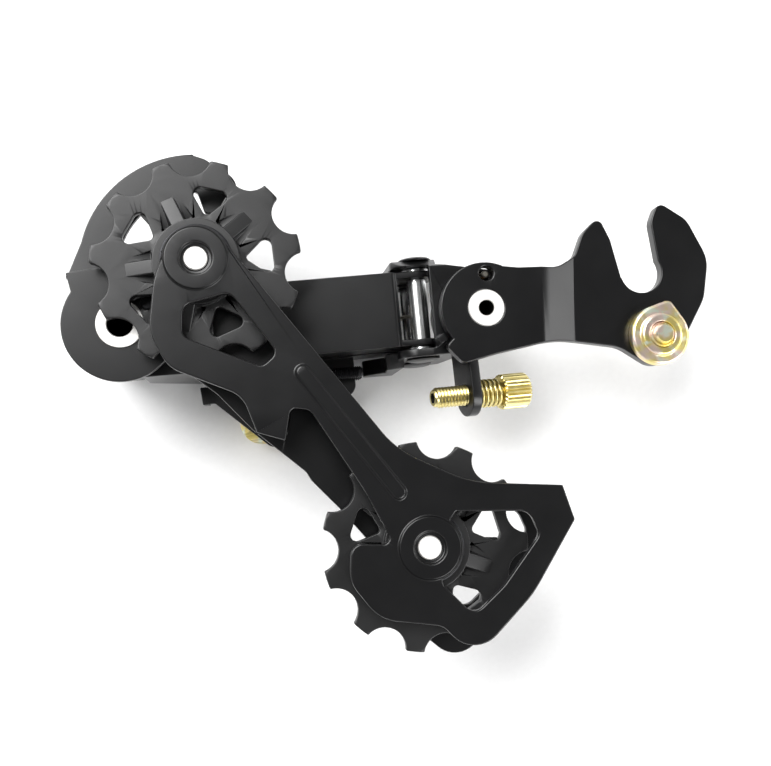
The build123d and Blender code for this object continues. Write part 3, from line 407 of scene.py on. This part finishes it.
# Peened and tumbled ends: the same plate, hammered matt and almost white
peened_zinc, peened_shader, peened_place = start_finish(
    "peened_bright_zinc_on_steel", Metallic=1.0, Roughness=0.6)
peened_marks = add_node(peened_zinc, "ShaderNodeTexNoise", {
    "Vector": peened_place, "Scale": 1 / (0.7 * MM), "Detail": 3.0})    # hammer marks of 0.7 mm
peened_tone = add_node(peened_zinc, "ShaderNodeMix", {
    0: peened_marks.outputs[0], 6: linear("#eceae6"), 7: linear("#fdfcfa")}, data_type="RGBA")
feed(peened_zinc, peened_tone.outputs[2], peened_shader, "Base Color")
# Painted shade: the faces inside the bores are painted nearly black, standing in for the shade
# deep in the holes
bore_painted_shade, bore_shade_shader, bore_shade_place = start_finish(
    "oiled_bare_steel_bore", Metallic=0.6, Roughness=0.6)
bore_shade_mottle = add_node(bore_painted_shade, "ShaderNodeTexNoise", {
    "Vector": bore_shade_place, "Scale": 1 / (1.0 * MM), "Detail": 2.0})     # mottle of 1 mm in the painted shade
bore_shade_tone = add_node(bore_painted_shade, "ShaderNodeMix", {
    0: bore_shade_mottle.outputs[0], 6: linear("#060606"), 7: linear("#151413")}, data_type="RGBA")
feed(bore_painted_shade, bore_shade_tone.outputs[2], bore_shade_shader, "Base Color")


def paint_bore_shade(piece, middle, radius, axis=(0, 0, 1)):
    """Paint the faces inside a piece's bore, up to a radius in mm, nearly black as painted shade.
    """
    piece.data.materials.append(bore_painted_shade)
    for face in piece.data.polygons:
        reach = max((piece.data.vertices[i].co - middle).cross(Vector(axis)).length
                    for i in face.vertices)
        if reach < radius * MM:
            face.material_index = 1


mounting = Vector(joints["mounting_pivot"]["pos_m"])
mounting.z = 0.0
cup_floor, bolt_end = -14.05, 3.4
stem_radius, stem_bore, stem_bore_depth = 4.2, 1.77, 7.2
mounting_flats, mounting_head_height = 13.0, 4.0
mounting_stem = turned("mounting_stem", [
    (cup_floor - 0.6, stem_radius), (bolt_end - 0.25, stem_radius),
    (bolt_end, stem_radius - 0.2), (bolt_end, stem_bore + 0.18), (bolt_end - 0.2, stem_bore),
    (bolt_end - stem_bore_depth, stem_bore), (bolt_end - 8.0, 0.4)], sides=64)
mounting_head = hexagon(
    "mounting_head", mounting_flats, cup_floor - mounting_head_height, cup_floor, 0.7)
mounting_bolt = joined("mounting_bolt_turned", mounting_stem, mounting_head)
smooth(stand(mounting_bolt, mounting))
fit(mounting_bolt, "claw", peened_zinc, "bright_zinc", "mounting_bolt")
# The bore's faces are painted nearly black, as painted shade in the hole
paint_bore_shade(mounting_bolt, mounting, stem_bore + 0.03)

# ---------------------------------------------------------------- pivot spring
# Oil-tempered spring wire wound round the mounting bolt's bush, one leg standing up through the
# slot in the bracket into the claw's small hole.
spring_steel, wire_shader, wire_place = start_finish(
    "oil_tempered_spring_steel_wire", Metallic=1.0)
wire_scale = add_node(spring_steel, "ShaderNodeTexNoise", {
    "Vector": wire_place, "Scale": 1 / (1.2 * MM), "Detail": 2.0})      # temper scale of 1.2 mm
wire_tone = add_node(spring_steel, "ShaderNodeMix", {
    0: wire_scale.outputs[0], 6: linear("#8f8a80"), 7: linear("#c3bfb4")}, data_type="RGBA")
feed(spring_steel, wire_tone.outputs[2], wire_shader, "Base Color")
wire_dull = add_node(spring_steel, "ShaderNodeMapRange", {
    0: wire_scale.outputs[0], 3: 0.24, 4: 0.38})
feed(spring_steel, wire_dull.outputs[0], wire_shader, "Roughness")

leg_radius, leg_wire, leg_top = 7.9, 0.85, 2.4
pivot_rise, pivot_turns = 1.9, 3.0
pivot_coil = coil("pivot_coil", leg_radius, leg_wire, pivot_rise, pivot_turns, start=-11.4)
pivot_leg = turned("pivot_leg", [
    (-6.4, leg_wire * 0.8), (-6.0, leg_wire), (leg_top - 0.3, leg_wire),
    (leg_top, leg_wire * 0.65)], sides=16)
stand(pivot_leg, (leg_radius * MM, 0, 0))
pivot_spring = joined("pivot_spring_wound", pivot_coil, pivot_leg)
smooth(stand(pivot_spring, mounting, turn=90))
fit(pivot_spring, "claw", spring_steel, "spring_steel", "pivot_spring")

# ---------------------------------------------------------------- bracket
# The channel of pressed steel that turns on the mounting bolt: base plate, drawn spring cup, two
# ears for the linkage's pins and the bent tab of the barrel adjuster. Powder-coated with the claw.
inner_pin_a = Vector(joints["shift"]["pos_m"])
outer_pin_a = Vector(joints["outer_arm_pivot"]["pos_m"])
inner_pin_b = Vector(joints["knuckle_pivot"]["pos_m"])
outer_pin_b = outer_pin_a + (inner_pin_b - inner_pin_a)
pin_axis = Vector(joints["shift"]["axis"]).normalized()
along_links = Vector((-pin_axis.y, pin_axis.x, 0.0))
side_view = Matrix((along_links, pin_axis, (0, 0, 1))).transposed().to_4x4()
side_view.translation = Vector((inner_pin_a.x, inner_pin_a.y, 0))
trims = []
# Two cutters, placed along the links, along the pins and in height. The first one chamfers the
# front ear's upper fold. The second one ends the ear's wing and the base plate's corner on a
# slant, clear of the claw's eye.
for foot, turn, axis, size in (
    ((-7.0, 10.3, -3.6), -61.2, "X", (30.0, 6.0, 8.0)),
    ((-14.0, 7.88, -8.5), 10.9, "Z", (20.0, 8.0, 17.0)),
):
    bpy.ops.object.select_all(action="DESELECT")
    bpy.ops.mesh.primitive_cube_add(size=1)
    trim = bpy.context.active_object
    lift = (0, 0, size[2] / 2 * MM) if axis == "X" else (0, size[1] / 2 * MM, 0)
    trim.matrix_world = (
        side_view @ Matrix.Translation(Vector(foot) * MM)
        @ Matrix.Rotation(radians(turn), 4, axis) @ Matrix.Translation(lift)
        @ Matrix.Diagonal((*(Vector(size) * MM), 1)))
    bpy.ops.object.transform_apply()
    close(trim)
    trims.append(trim)
bracket = pressing("bracket_body", "linkage_bracket", edge=0.25, cutters=trims)
fit(bracket, "bracket", black_paint, "black_paint", "bracket_body")

# Sintered bronze bush with oil in its pores, a little dull
bronze, bronze_shader, bronze_place = start_finish("sintered_bronze", Metallic=1.0)
bronze_pores = add_node(bronze, "ShaderNodeTexNoise", {
    "Vector": bronze_place, "Scale": 1 / (0.3 * MM), "Detail": 2.0})    # pores of 0.3 mm
bronze_tone = add_node(bronze, "ShaderNodeMix", {
    0: bronze_pores.outputs[0], 6: linear("#8a6436"), 7: linear("#b98c55")}, data_type="RGBA")
feed(bronze, bronze_tone.outputs[2], bronze_shader, "Base Color")
bronze_dull = add_node(bronze, "ShaderNodeMapRange", {
    0: bronze_pores.outputs[0], 3: 0.34, 4: 0.5})
feed(bronze, bronze_dull.outputs[0], bronze_shader, "Roughness")
for name in ("pivot_bush", "cage_axle_bush"):
    coat(frame["nodes"][name], bronze)

# ---------------------------------------------------------------- linkage pins
# Four headed rivets of bright steel. The shank shines between the links' flanges, a bright
# collar fills the gap to each ear, and the peened heads took the black paint of the ears.
link_run = (inner_pin_b - inner_pin_a).normalized()
link_up = pin_axis.cross(link_run)
pin_radius, pin_reach = 2.25, 11.4
head_radius, head_height = 3.9, 0.9
for place, body, name in (
    (inner_pin_a, "bracket", "inner_bracket_pin"), (outer_pin_a, "bracket", "outer_bracket_pin"),
    (inner_pin_b, "knuckle", "inner_knuckle_pin"), (outer_pin_b, "knuckle", "outer_knuckle_pin"),
):
    shank = turned(name + "_shank", [(-pin_reach, pin_radius), (pin_reach, pin_radius)])
    smooth(stand(shank, place, pin_axis))
    fit(shank, body, bright_zinc, "bright_zinc", name)
    heads = [turned("head", [
        (pin_reach, head_radius - 0.1), (pin_reach + 0.15, head_radius),
        (pin_reach + 0.4, head_radius), (pin_reach + 0.72, head_radius - 0.5),
        (pin_reach + head_height, head_radius - 1.4)]) for side in (0, 1)]
    stand(heads[1], (0, 0, 0), (0, 0, -1))
    both = joined(name + "_heads", *heads)
    smooth(stand(both, place, pin_axis))
    fit(both, body, black_paint, "black_paint")
collar_start, collar_end, collar_radius = 8.75, 9.6, 3.3
for places, body, name in (
    ((inner_pin_a, outer_pin_a), "bracket", "bracket_pin_washers"),
    ((inner_pin_b, outer_pin_b), "knuckle", "knuckle_pin_washers"),
):
    collars = []
    for place in places:
        for side in (1, -1):
            collars.append(stand(turned("collar", [
                (collar_start, pin_radius + 0.02), (collar_start, collar_radius - 0.15),
                (collar_start + 0.15, collar_radius), (collar_end - 0.15, collar_radius),
                (collar_end, collar_radius - 0.15), (collar_end, pin_radius + 0.02),
                (collar_start, pin_radius + 0.02)], hollow=True), place, pin_axis * side))
    rings = joined(name + "_turned", *collars)
    smooth(rings)
    fit(rings, body, bright_zinc, "bright_zinc", name)

# ---------------------------------------------------------------- links
# Two channels of pressed steel, equal between their pins. The outer one carries the threaded
# wall of the limit screws and the arm of the cable anchor. Powder-coated satin black.
inner_link = pressing("inner_link", "inner_link_channel", edge=0.22)
fit(inner_link, "inner_arm", black_paint, "black_paint", "inner_link")
outer_link = pressing("outer_link", "outer_link_channel", edge=0.22)
fit(outer_link, "outer_arm", black_paint, "black_paint", "outer_link")

# ---------------------------------------------------------------- limit screws
# Two small pan-head screws with crossed slots, blackened, run through the outer link's wall. The
# rolled thread is bare up to the point.
black_plate, plate_shader, plate_place = start_finish(
    "black_zinc_plate_on_steel", Metallic=0.7)
plate_grain = add_node(black_plate, "ShaderNodeTexNoise", {
    "Vector": plate_place, "Scale": 1 / (0.5 * MM), "Detail": 3.0})     # plating grain of 0.5 mm
plate_tone = add_node(black_plate, "ShaderNodeMix", {
    0: plate_grain.outputs[0], 6: linear("#1a1a1c"), 7: linear("#333336")}, data_type="RGBA")
feed(black_plate, plate_tone.outputs[2], plate_shader, "Base Color")
plate_dull = add_node(black_plate, "ShaderNodeMapRange", {
    0: plate_grain.outputs[0], 3: 0.3, 4: 0.45})
feed(black_plate, plate_dull.outputs[0], plate_shader, "Roughness")


def block(name, size, middle):
    """A box of a size in mm, its middle at a place in mm."""
    bpy.ops.object.select_all(action="DESELECT")
    bpy.ops.mesh.primitive_cube_add(size=1, location=Vector(middle) * MM)
    box = bpy.context.active_object
    box.name = box.data.name = name
    bpy.ops.transform.resize(value=Vector(size) * MM)
    bpy.ops.object.transform_apply()
    return box


tip, under_head, head_end = -6.7, 6.2, 8.1      # along the screw, from its joint's place
screw_core, screw_pitch, screw_head = 1.22, 0.5, 2.7
slot_length, slot_width, slot_depth = 4.2, 0.8, 0.95
for joint, node in (
    ("high_screw_turn", "limit_screw_high"), ("low_screw_turn", "limit_screw_low"),
):
    shank = turned("screw_shank", [
        (tip, 0.9), (tip + 0.4, screw_core), (under_head + 0.2, screw_core)], sides=32)
    ridge = coil("screw_ridge", screw_core, screw_pitch / 2, screw_pitch, 24, start=tip + 0.6,
                 sides=4, steps=20, squash=1.08)
    head = turned("screw_head", [
        (under_head, screw_head - 0.1), (under_head + 0.15, screw_head),
        (under_head + 1.1, screw_head), (head_end - 0.25, 2.3), (head_end, 1.6)], sides=40)
    for length, width in ((slot_length, slot_width), (slot_width, slot_length)):
        cut(head, block("slot", (length, width, 2.0), (0, 0, head_end + 1.0 - slot_depth)))
    screw = joined(node + "_cut", head, shank, ridge)
    smooth(stand(screw, Vector(joints[joint]["pos_m"]), joints[joint]["axis"], turn=20))
    fit(screw, joints[joint]["child"], black_plate, "black_plate", node)

# ---------------------------------------------------------------- cable anchor
# A yellow zinc stud riveted in the outer link's arm, a washer with a groove for the cable, and a
# hexagon nut that clamps them.
nut_low, nut_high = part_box("cable_anchor_nut")
nut_middle = (nut_low + nut_high) / 2
anchor_core, anchor_pitch = 2.1, 0.8
nut_flats, nut_half, nut_bore, nut_mouth = 8.0, 2.2, 2.47, 2.9
stud = turned("stud", [
    (-4.5, 1.6), (-3.9, anchor_core), (3.2, anchor_core), (3.4, 2.45), (5.4, 2.45)], sides=32)
stud_ridge = coil("stud_ridge", anchor_core, anchor_pitch / 2, anchor_pitch, 8.0, start=-3.6,
                  sides=4, squash=0.8)
anchor_stud = joined("cable_anchor_stud", stud, stud_ridge)
smooth(stand(anchor_stud, nut_middle, link_up))
fit(anchor_stud, "outer_arm", yellow_zinc, "yellow_zinc", "cable_anchor_bolt")
anchor_nut = hexagon("cable_anchor_hexagon", nut_flats, -nut_half, nut_half, 0.5)
cut(anchor_nut, turned("bore", [
    (-3, nut_mouth), (-nut_half, nut_mouth), (0.5 - nut_half, nut_bore),
    (nut_half - 0.5, nut_bore), (nut_half, nut_mouth), (3, nut_mouth)]))
smooth(stand(anchor_nut, nut_middle, link_up, turn=12))
fit(anchor_nut, "outer_arm", yellow_zinc, "yellow_zinc", "cable_anchor_nut")
clamp_washer = pressing("cable_clamp_washer", "cable_clamp_disc", edge=0.12)
fit(clamp_washer, "outer_arm", yellow_zinc, "yellow_zinc", "cable_clamp_washer")

# ---------------------------------------------------------------- return spring
# Close-wound spring wire that pulls the linkage shut: an eye round the bracket's outer pin, then
# a coil that runs slantwise towards the knuckle's inner pin.
spring_way = inner_pin_b - outer_pin_a
spring_line = spring_way.normalized()
coil_start, coil_radius, coil_wire, coil_rise = 6.5, 2.5, 0.4, 0.83
coil_length = spring_way.length / MM - 2 * coil_start
wound = coil("wound", coil_radius, coil_wire, coil_rise, (coil_length - 0.9) / coil_rise,
             start=coil_start + 0.45, sides=8, steps=18)
shank = turned("spring_shank", [
    (3.0, 0.35), (3.1, coil_wire), (coil_start + 0.6, coil_wire), (coil_start + 0.9, 0.2)],
    sides=12)
smooth(wound)
stand(joined("return_coil", wound, shank), outer_pin_a, spring_line)
return_coil = bpy.context.active_object
bpy.ops.object.select_all(action="DESELECT")
bpy.ops.mesh.primitive_torus_add(
    major_radius=(pin_radius + 0.1 + coil_wire) * MM, minor_radius=coil_wire * MM,
    major_segments=40, minor_segments=10)
spring_eye = stand(bpy.context.active_object, outer_pin_a, pin_axis)
return_spring = joined("return_spring_wound", return_coil, spring_eye)
smooth(return_spring, 50)
fit(return_spring, "shift_spring", spring_steel, "spring_steel", "return_spring")

# ---------------------------------------------------------------- barrel adjuster
# Turned brass-coloured steel: a hollow M5 screw in the bracket's tab with a straight-knurled head
# that the cable's housing sits in, and a short spring between head and tab that holds its turn.
# The same yellow plate on turned work: a deeper, more even gold
gold_zinc, turned_shader, turned_place = start_finish(
    "yellow_chromate_zinc_plate_on_turned_steel", Metallic=1.0, Roughness=0.3)
turned_drift = add_node(gold_zinc, "ShaderNodeTexNoise", {
    "Vector": turned_place, "Scale": 1 / (2.0 * MM), "Detail": 2.0})    # film drift of 2 mm
turned_tone = add_node(gold_zinc, "ShaderNodeMix", {
    0: turned_drift.outputs[0], 6: linear("#d2bd6c"), 7: linear("#efe5ac")}, data_type="RGBA")
feed(gold_zinc, turned_tone.outputs[2], turned_shader, "Base Color")

barrel_middle = Vector(joints["barrel_turn"]["pos_m"])
barrel_axis = Vector(joints["barrel_turn"]["axis"]).normalized()
tail, head_foot, head_top = -11.6, 5.4, 12.2
barrel_core, barrel_pitch = 2.1, 0.8
cable_bore, housing_socket, socket_depth = 1.2, 2.6, 5.0
ridge_count, crest, valley, chamfered = 26, 4.15, 3.82, 0.93
barrel_stem = turned("barrel_stem", [
    (tail, cable_bore), (tail, 1.85), (tail + 0.4, barrel_core),
    (head_foot + 0.3, barrel_core), (head_foot + 0.3, cable_bore), (tail, cable_bore)],
    hollow=True)
barrel_ridge = coil("barrel_ridge", barrel_core, barrel_pitch / 2, barrel_pitch, 20.5,
                    start=tail + 0.75, sides=4, squash=0.82)
bpy.ops.object.select_all(action="DESELECT")
bpy.ops.mesh.primitive_circle_add(
    vertices=3 * ridge_count, radius=crest * MM, fill_type="NGON",
    location=(0, 0, head_foot * MM))
barrel_head = bpy.context.active_object
bpy.ops.object.mode_set(mode="EDIT")


def pick(piece, test):
    """In edit mode, select the corners that pass a test, and all that lies between them."""
    bpy.ops.mesh.select_all(action="DESELECT")
    shape = bmesh.from_edit_mesh(piece.data)
    shape.verts.ensure_lookup_table()
    for corner in shape.verts:
        corner.select = bool(test(corner))
    shape.select_flush(True)
    bmesh.update_edit_mesh(piece.data)


# Every third corner of the foot's outline goes in to a valley of the knurl, then the outline is
# raised in three steps: the lower chamfer, the knurled side and the upper chamfer
pick(barrel_head, lambda corner: corner.index % 3 == 0)
bpy.ops.transform.resize(value=(valley / crest, valley / crest, 1), center_override=(0, 0, 0))
bpy.ops.mesh.select_all(action="SELECT")
bpy.ops.transform.resize(value=(chamfered, chamfered, 1), center_override=(0, 0, 0))
for rise, grown in (
    (0.35, 1 / chamfered), (head_top - head_foot - 0.35 - 0.5, 1.0), (0.5, 0.9),
):
    bpy.ops.mesh.extrude_region_move(TRANSFORM_OT_translate={"value": (0, 0, rise * MM)})
    bpy.ops.transform.resize(value=(grown, grown, 1), center_override=(0, 0, 0))
close(barrel_head)
bpy.ops.object.transform_apply()
cut(barrel_head, turned("socket", [
    (head_foot - 1, cable_bore), (head_top - socket_depth, cable_bore),
    (head_top - socket_depth, housing_socket), (head_top - 0.3, housing_socket),
    (head_top + 0.3, housing_socket + 0.6)]))
barrel = joined("barrel_adjuster_knurled", barrel_stem, barrel_ridge, barrel_head)
smooth(stand(barrel, barrel_middle, barrel_axis), 25)
fit(barrel, "barrel", gold_zinc, "yellow_zinc", "barrel_adjuster")
# The cable bore's faces are painted nearly black, as painted shade in the hole
paint_bore_shade(barrel, barrel_middle, cable_bore + 0.1, barrel_axis)

barrel_coil_radius, barrel_wire, barrel_rise, barrel_turns = 3.02, 0.36, 1.14, 5.05
barrel_coil = coil("barrel_spring_wound", barrel_coil_radius, barrel_wire, barrel_rise,
                   barrel_turns, start=-0.76)
smooth(stand(barrel_coil, barrel_middle, barrel_axis), 50)
fit(barrel_coil, "bracket", gold_zinc, "spring_steel", "barrel_spring")

# ---------------------------------------------------------------- knuckle
# The pressed and welded body at the linkage's outer end: two ears, a plate and the deep cup that
# holds the cage spring, closed by a pressed cap. Powder-coated satin black.
knuckle = pressing("knuckle_body", "linkage_knuckle", edge=0.25)
fit(knuckle, "knuckle", black_paint, "black_paint", "knuckle_body")
knuckle_cap = pressing("knuckle_cap", "cup_cap", edge=0.15)
fit(knuckle_cap, "knuckle", black_plate, "black_plate", "knuckle_cap")

cage_pivot = Vector(joints["cage_pivot"]["pos_m"])
cage_pivot.z = 0.0
cage_coil_radius, cage_wire, cage_rise, cage_turns = 6.9, 0.8, 2.2, 8.0
cage_coil = coil("cage_spring_wound", cage_coil_radius, cage_wire, cage_rise, cage_turns,
                 start=-17.4, steps=32)
smooth(stand(cage_coil, cage_pivot), 50)
fit(cage_coil, "knuckle", spring_steel, "spring_steel", "cage_spring")

# ---------------------------------------------------------------- cage axle and stop pin
# Bored steel axle riveted in the outer plate, its peened ring bright, with a thin nylon seal
# under the plate and a small blackened rivet that stops the cage.
axle_foot, axle_top, plate_top = -18.2, 7.2, 6.7
axle_head, axle_journal, axle_bore = 5.1, 4.0, 2.8
cage_axle = turned("cage_axle_turned", [
    (axle_foot, axle_head), (-16.0, axle_head), (-16.0, axle_journal),
    (plate_top, axle_journal), (plate_top, axle_head - 0.2), (plate_top + 0.2, axle_head),
    (axle_top - 0.12, axle_head), (axle_top, axle_head - 0.15), (axle_top, axle_bore + 0.2),
    (axle_top - 0.2, axle_bore), (axle_foot + 1.2, axle_bore)], sides=64)
smooth(stand(cage_axle, cage_pivot))
fit(cage_axle, "cage", peened_zinc, "bright_zinc", "cage_axle")
# The axle's bore faces are painted nearly black, as painted shade in the hole
paint_bore_shade(cage_axle, cage_pivot, axle_bore + 0.05)
pin_low, pin_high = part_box("cage_stop_pin")
stop_pin = turned("cage_stop_rivet", [
    (3.2, 0.8), (3.3, 0.9), (plate_top, 0.9), (plate_top, 1.45), (6.85, 1.5), (6.95, 1.45),
    (7.15, 1.0)], sides=24)
smooth(stand(stop_pin, ((pin_low.x + pin_high.x) / 2, (pin_low.y + pin_high.y) / 2, 0)))
fit(stop_pin, "cage", black_plate, "black_plate", "cage_stop_pin")

# Moulded nylon, black: a matt grain left by the mould
black_plastic, nylon_shader, nylon_place = start_finish("moulded_black_nylon", IOR=1.53)
nylon_flow = add_node(black_plastic, "ShaderNodeTexNoise", {
    "Vector": nylon_place, "Scale": 1 / (7 * MM), "Detail": 3.0})       # flow marks of 7 mm
nylon_tone = add_node(black_plastic, "ShaderNodeMix", {
    0: nylon_flow.outputs[0], 6: linear("#0d0d0d"), 7: linear("#151516")}, data_type="RGBA")
feed(black_plastic, nylon_tone.outputs[2], nylon_shader, "Base Color")
nylon_sheen = add_node(black_plastic, "ShaderNodeMapRange", {
    0: nylon_flow.outputs[0], 3: 0.36, 4: 0.46})
feed(black_plastic, nylon_sheen.outputs[0], nylon_shader, "Roughness")
# Spark-eroded grain of 0.1 mm, drawn at 0.4 mm so that it shows
nylon_grain = add_node(black_plastic, "ShaderNodeTexNoise", {
    "Vector": nylon_place, "Scale": 1 / (0.4 * MM), "Detail": 2.0})
nylon_bump = add_node(black_plastic, "ShaderNodeBump", {
    "Height": nylon_grain.outputs[0], "Strength": 0.3, "Distance": 0.02 * MM})
feed(black_plastic, nylon_bump.outputs[0], nylon_shader, "Normal")
coat(frame["nodes"]["cage_pivot_washer"], black_plastic)

# ---------------------------------------------------------------- cage plates
# Two stamped steel plates with windows. The inner one has a pressed boss at each pulley, a rib
# and two bent chain tabs; the outer one carries the crescent. Powder-coated satin black.
outer_plate = pressing("outer_cage_plate", "outer_plate_stamped", edge=0.25, segments=3)
fit(outer_plate, "cage", black_paint, "black_paint", "outer_cage_plate")
inner_plate = pressing("inner_cage_plate", "inner_plate_stamped", edge=0.34, segments=3)
fit(inner_plate, "cage", black_paint, "black_paint", "inner_cage_plate")

# ---------------------------------------------------------------- pulleys
# Moulded nylon wheels with eleven square-topped teeth, five windows and, on each side, a raised
# rib in every spoke that ramps down from the hub, with a hollow on both sides of it.
pulley_middle, rim_half = 11.0, 1.1
spokes, spoke_step = 5, 72
rib_inner, rib_outer, rib_width, rib_height = 8.6, 15.8, 3.6, 2.6
wedge_middle, wedge_length, wedge_width, wedge_height = 12.0, 5.6, 1.7, 2.0
wedge_ramp, wedge_taper, wedge_gap = 1.0, 1.5, 0.3
for kind, joint, window_turn in (
    ("guide", "guide_pulley_spin", 7.8), ("tension", "tension_pulley_spin", 18.0),
):
    centre = Vector(joints[joint]["pos_m"])
    centre.z = pulley_middle * MM
    wedges = []
    for side in (1, -1):
        for spoke in range(spokes):
            angle = window_turn + spoke_step / 2 + spoke_step * spoke
            for hand in (1, -1):
                # Hollow beside the rib: a wedge that deepens towards the hub
                wedge = block("wedge", (wedge_length, wedge_width, wedge_height),
                              (wedge_middle, 0, 0))
                bpy.ops.object.mode_set(mode="EDIT")
                pick(wedge, lambda corner: (
                    corner.co.z < 0 and corner.co.x > wedge_middle * MM))
                bpy.ops.transform.translate(value=(0, 0, wedge_ramp * MM))
                pick(wedge, lambda corner: (
                    corner.co.x > wedge_middle * MM and corner.co.y * hand > 0))
                bpy.ops.transform.translate(value=(0, -wedge_taper * hand * MM, 0))
                bpy.ops.object.mode_set(mode="OBJECT")
                wedge.location = (0, (rib_width + wedge_width) / 2 * hand * MM,
                                  (rim_half + wedge_gap) * MM)
                bpy.ops.object.transform_apply()
                if side < 0:
                    stand(wedge, (0, 0, 0), (0, 0, -1))
                wedges.append(stand(wedge, centre, turn=angle))
    wedges = joined("wedges", *wedges)
    close(wedges)
    wheel = pressing(f"{kind}_pulley", f"{kind}_wheel", edge=0.24, cutters=[wedges])
    ribs = []
    for side in (1, -1):
        for spoke in range(spokes):
            rib = block("rib", (rib_outer - rib_inner, rib_width, rib_height),
                        ((rib_inner + rib_outer) / 2, 0, rib_height / 2))
            bpy.ops.object.mode_set(mode="EDIT")
            # The outer end's top edge goes down to make the ramp, then the top is narrowed
            pick(rib, lambda corner: corner.co.z > 2 * MM and corner.co.x > wedge_middle * MM)
            bpy.ops.transform.translate(value=(-0.6 * MM, 0, -1.6 * MM))
            pick(rib, lambda corner: corner.co.z > 0.5 * MM)
            bpy.ops.transform.resize(value=(1, 0.86, 1), center_override=(0, 0, 0))
            bpy.ops.mesh.select_all(action="SELECT")
            bpy.ops.mesh.bevel(offset=0.3 * MM, segments=2)
            close(rib)
            if side < 0:
                stand(rib, (0, 0, 0), (0, 0, -1))
            angle = window_turn + spoke_step / 2 + spoke_step * spoke
            ribs.append(stand(rib, centre, turn=angle))
    pulley = joined(f"{kind}_pulley_moulded", wheel, *ribs)
    smooth(pulley)
    fit(pulley, joints[joint]["child"], black_plastic, "black_plastic", f"{kind}_pulley")

# ---------------------------------------------------------------- pulley axles
# A steel bush clamped between the plates, two pressed dust caps over it, and a button-head bolt
# with a hexagon socket whose bright end shows in the inner plate's pocket.
cap_bore, cap_radius, cap_height = 4.02, 7.6, 1.35
axle_radius, axle_button, socket_radius = 2.5, 4.2, 1.73
for kind, joint in (("guide", "guide_pulley_spin"), ("tension", "tension_pulley_spin")):
    centre = Vector(joints[joint]["pos_m"])
    centre.z = 0.0
    coat(frame["nodes"][f"{kind}_pulley_bush"], bright_zinc)
    low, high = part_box(f"{kind}_dust_caps")
    bottom, top = low.z / MM, high.z / MM
    caps = []
    for foot, way in ((bottom, 1), (top, -1)):
        caps.append(turned("cap", [
            (foot, cap_bore), (foot, cap_radius - 0.3), (foot + 0.2 * way, cap_radius),
            (foot + (cap_height - 0.25) * way, cap_radius),
            (foot + cap_height * way, cap_radius - 0.25), (foot + cap_height * way, cap_bore),
            (foot, cap_bore)], hollow=True))
    both = joined(f"{kind}_caps_pressed", *caps)
    smooth(stand(both, centre))
    fit(both, "cage", black_plate, "black_plate", f"{kind}_dust_caps")
    bolt = turned(f"{kind}_bolt_turned", [
        (3.1, 3.0), (3.3, 3.55), (3.9, 4.1), (4.75, axle_button), (4.9, 4.1),
        (4.9, axle_radius), (16.7, axle_radius), (16.95, 2.3), (17.0, 2.1)], sides=48)
    cut(bolt, turned("socket", [
        (2.5, socket_radius), (5.5, socket_radius), (5.9, 0.3)], sides=6))
    smooth(stand(bolt, centre))
    fit(bolt, "cage", peened_zinc, "bright_zinc", f"{kind}_axle_bolt")
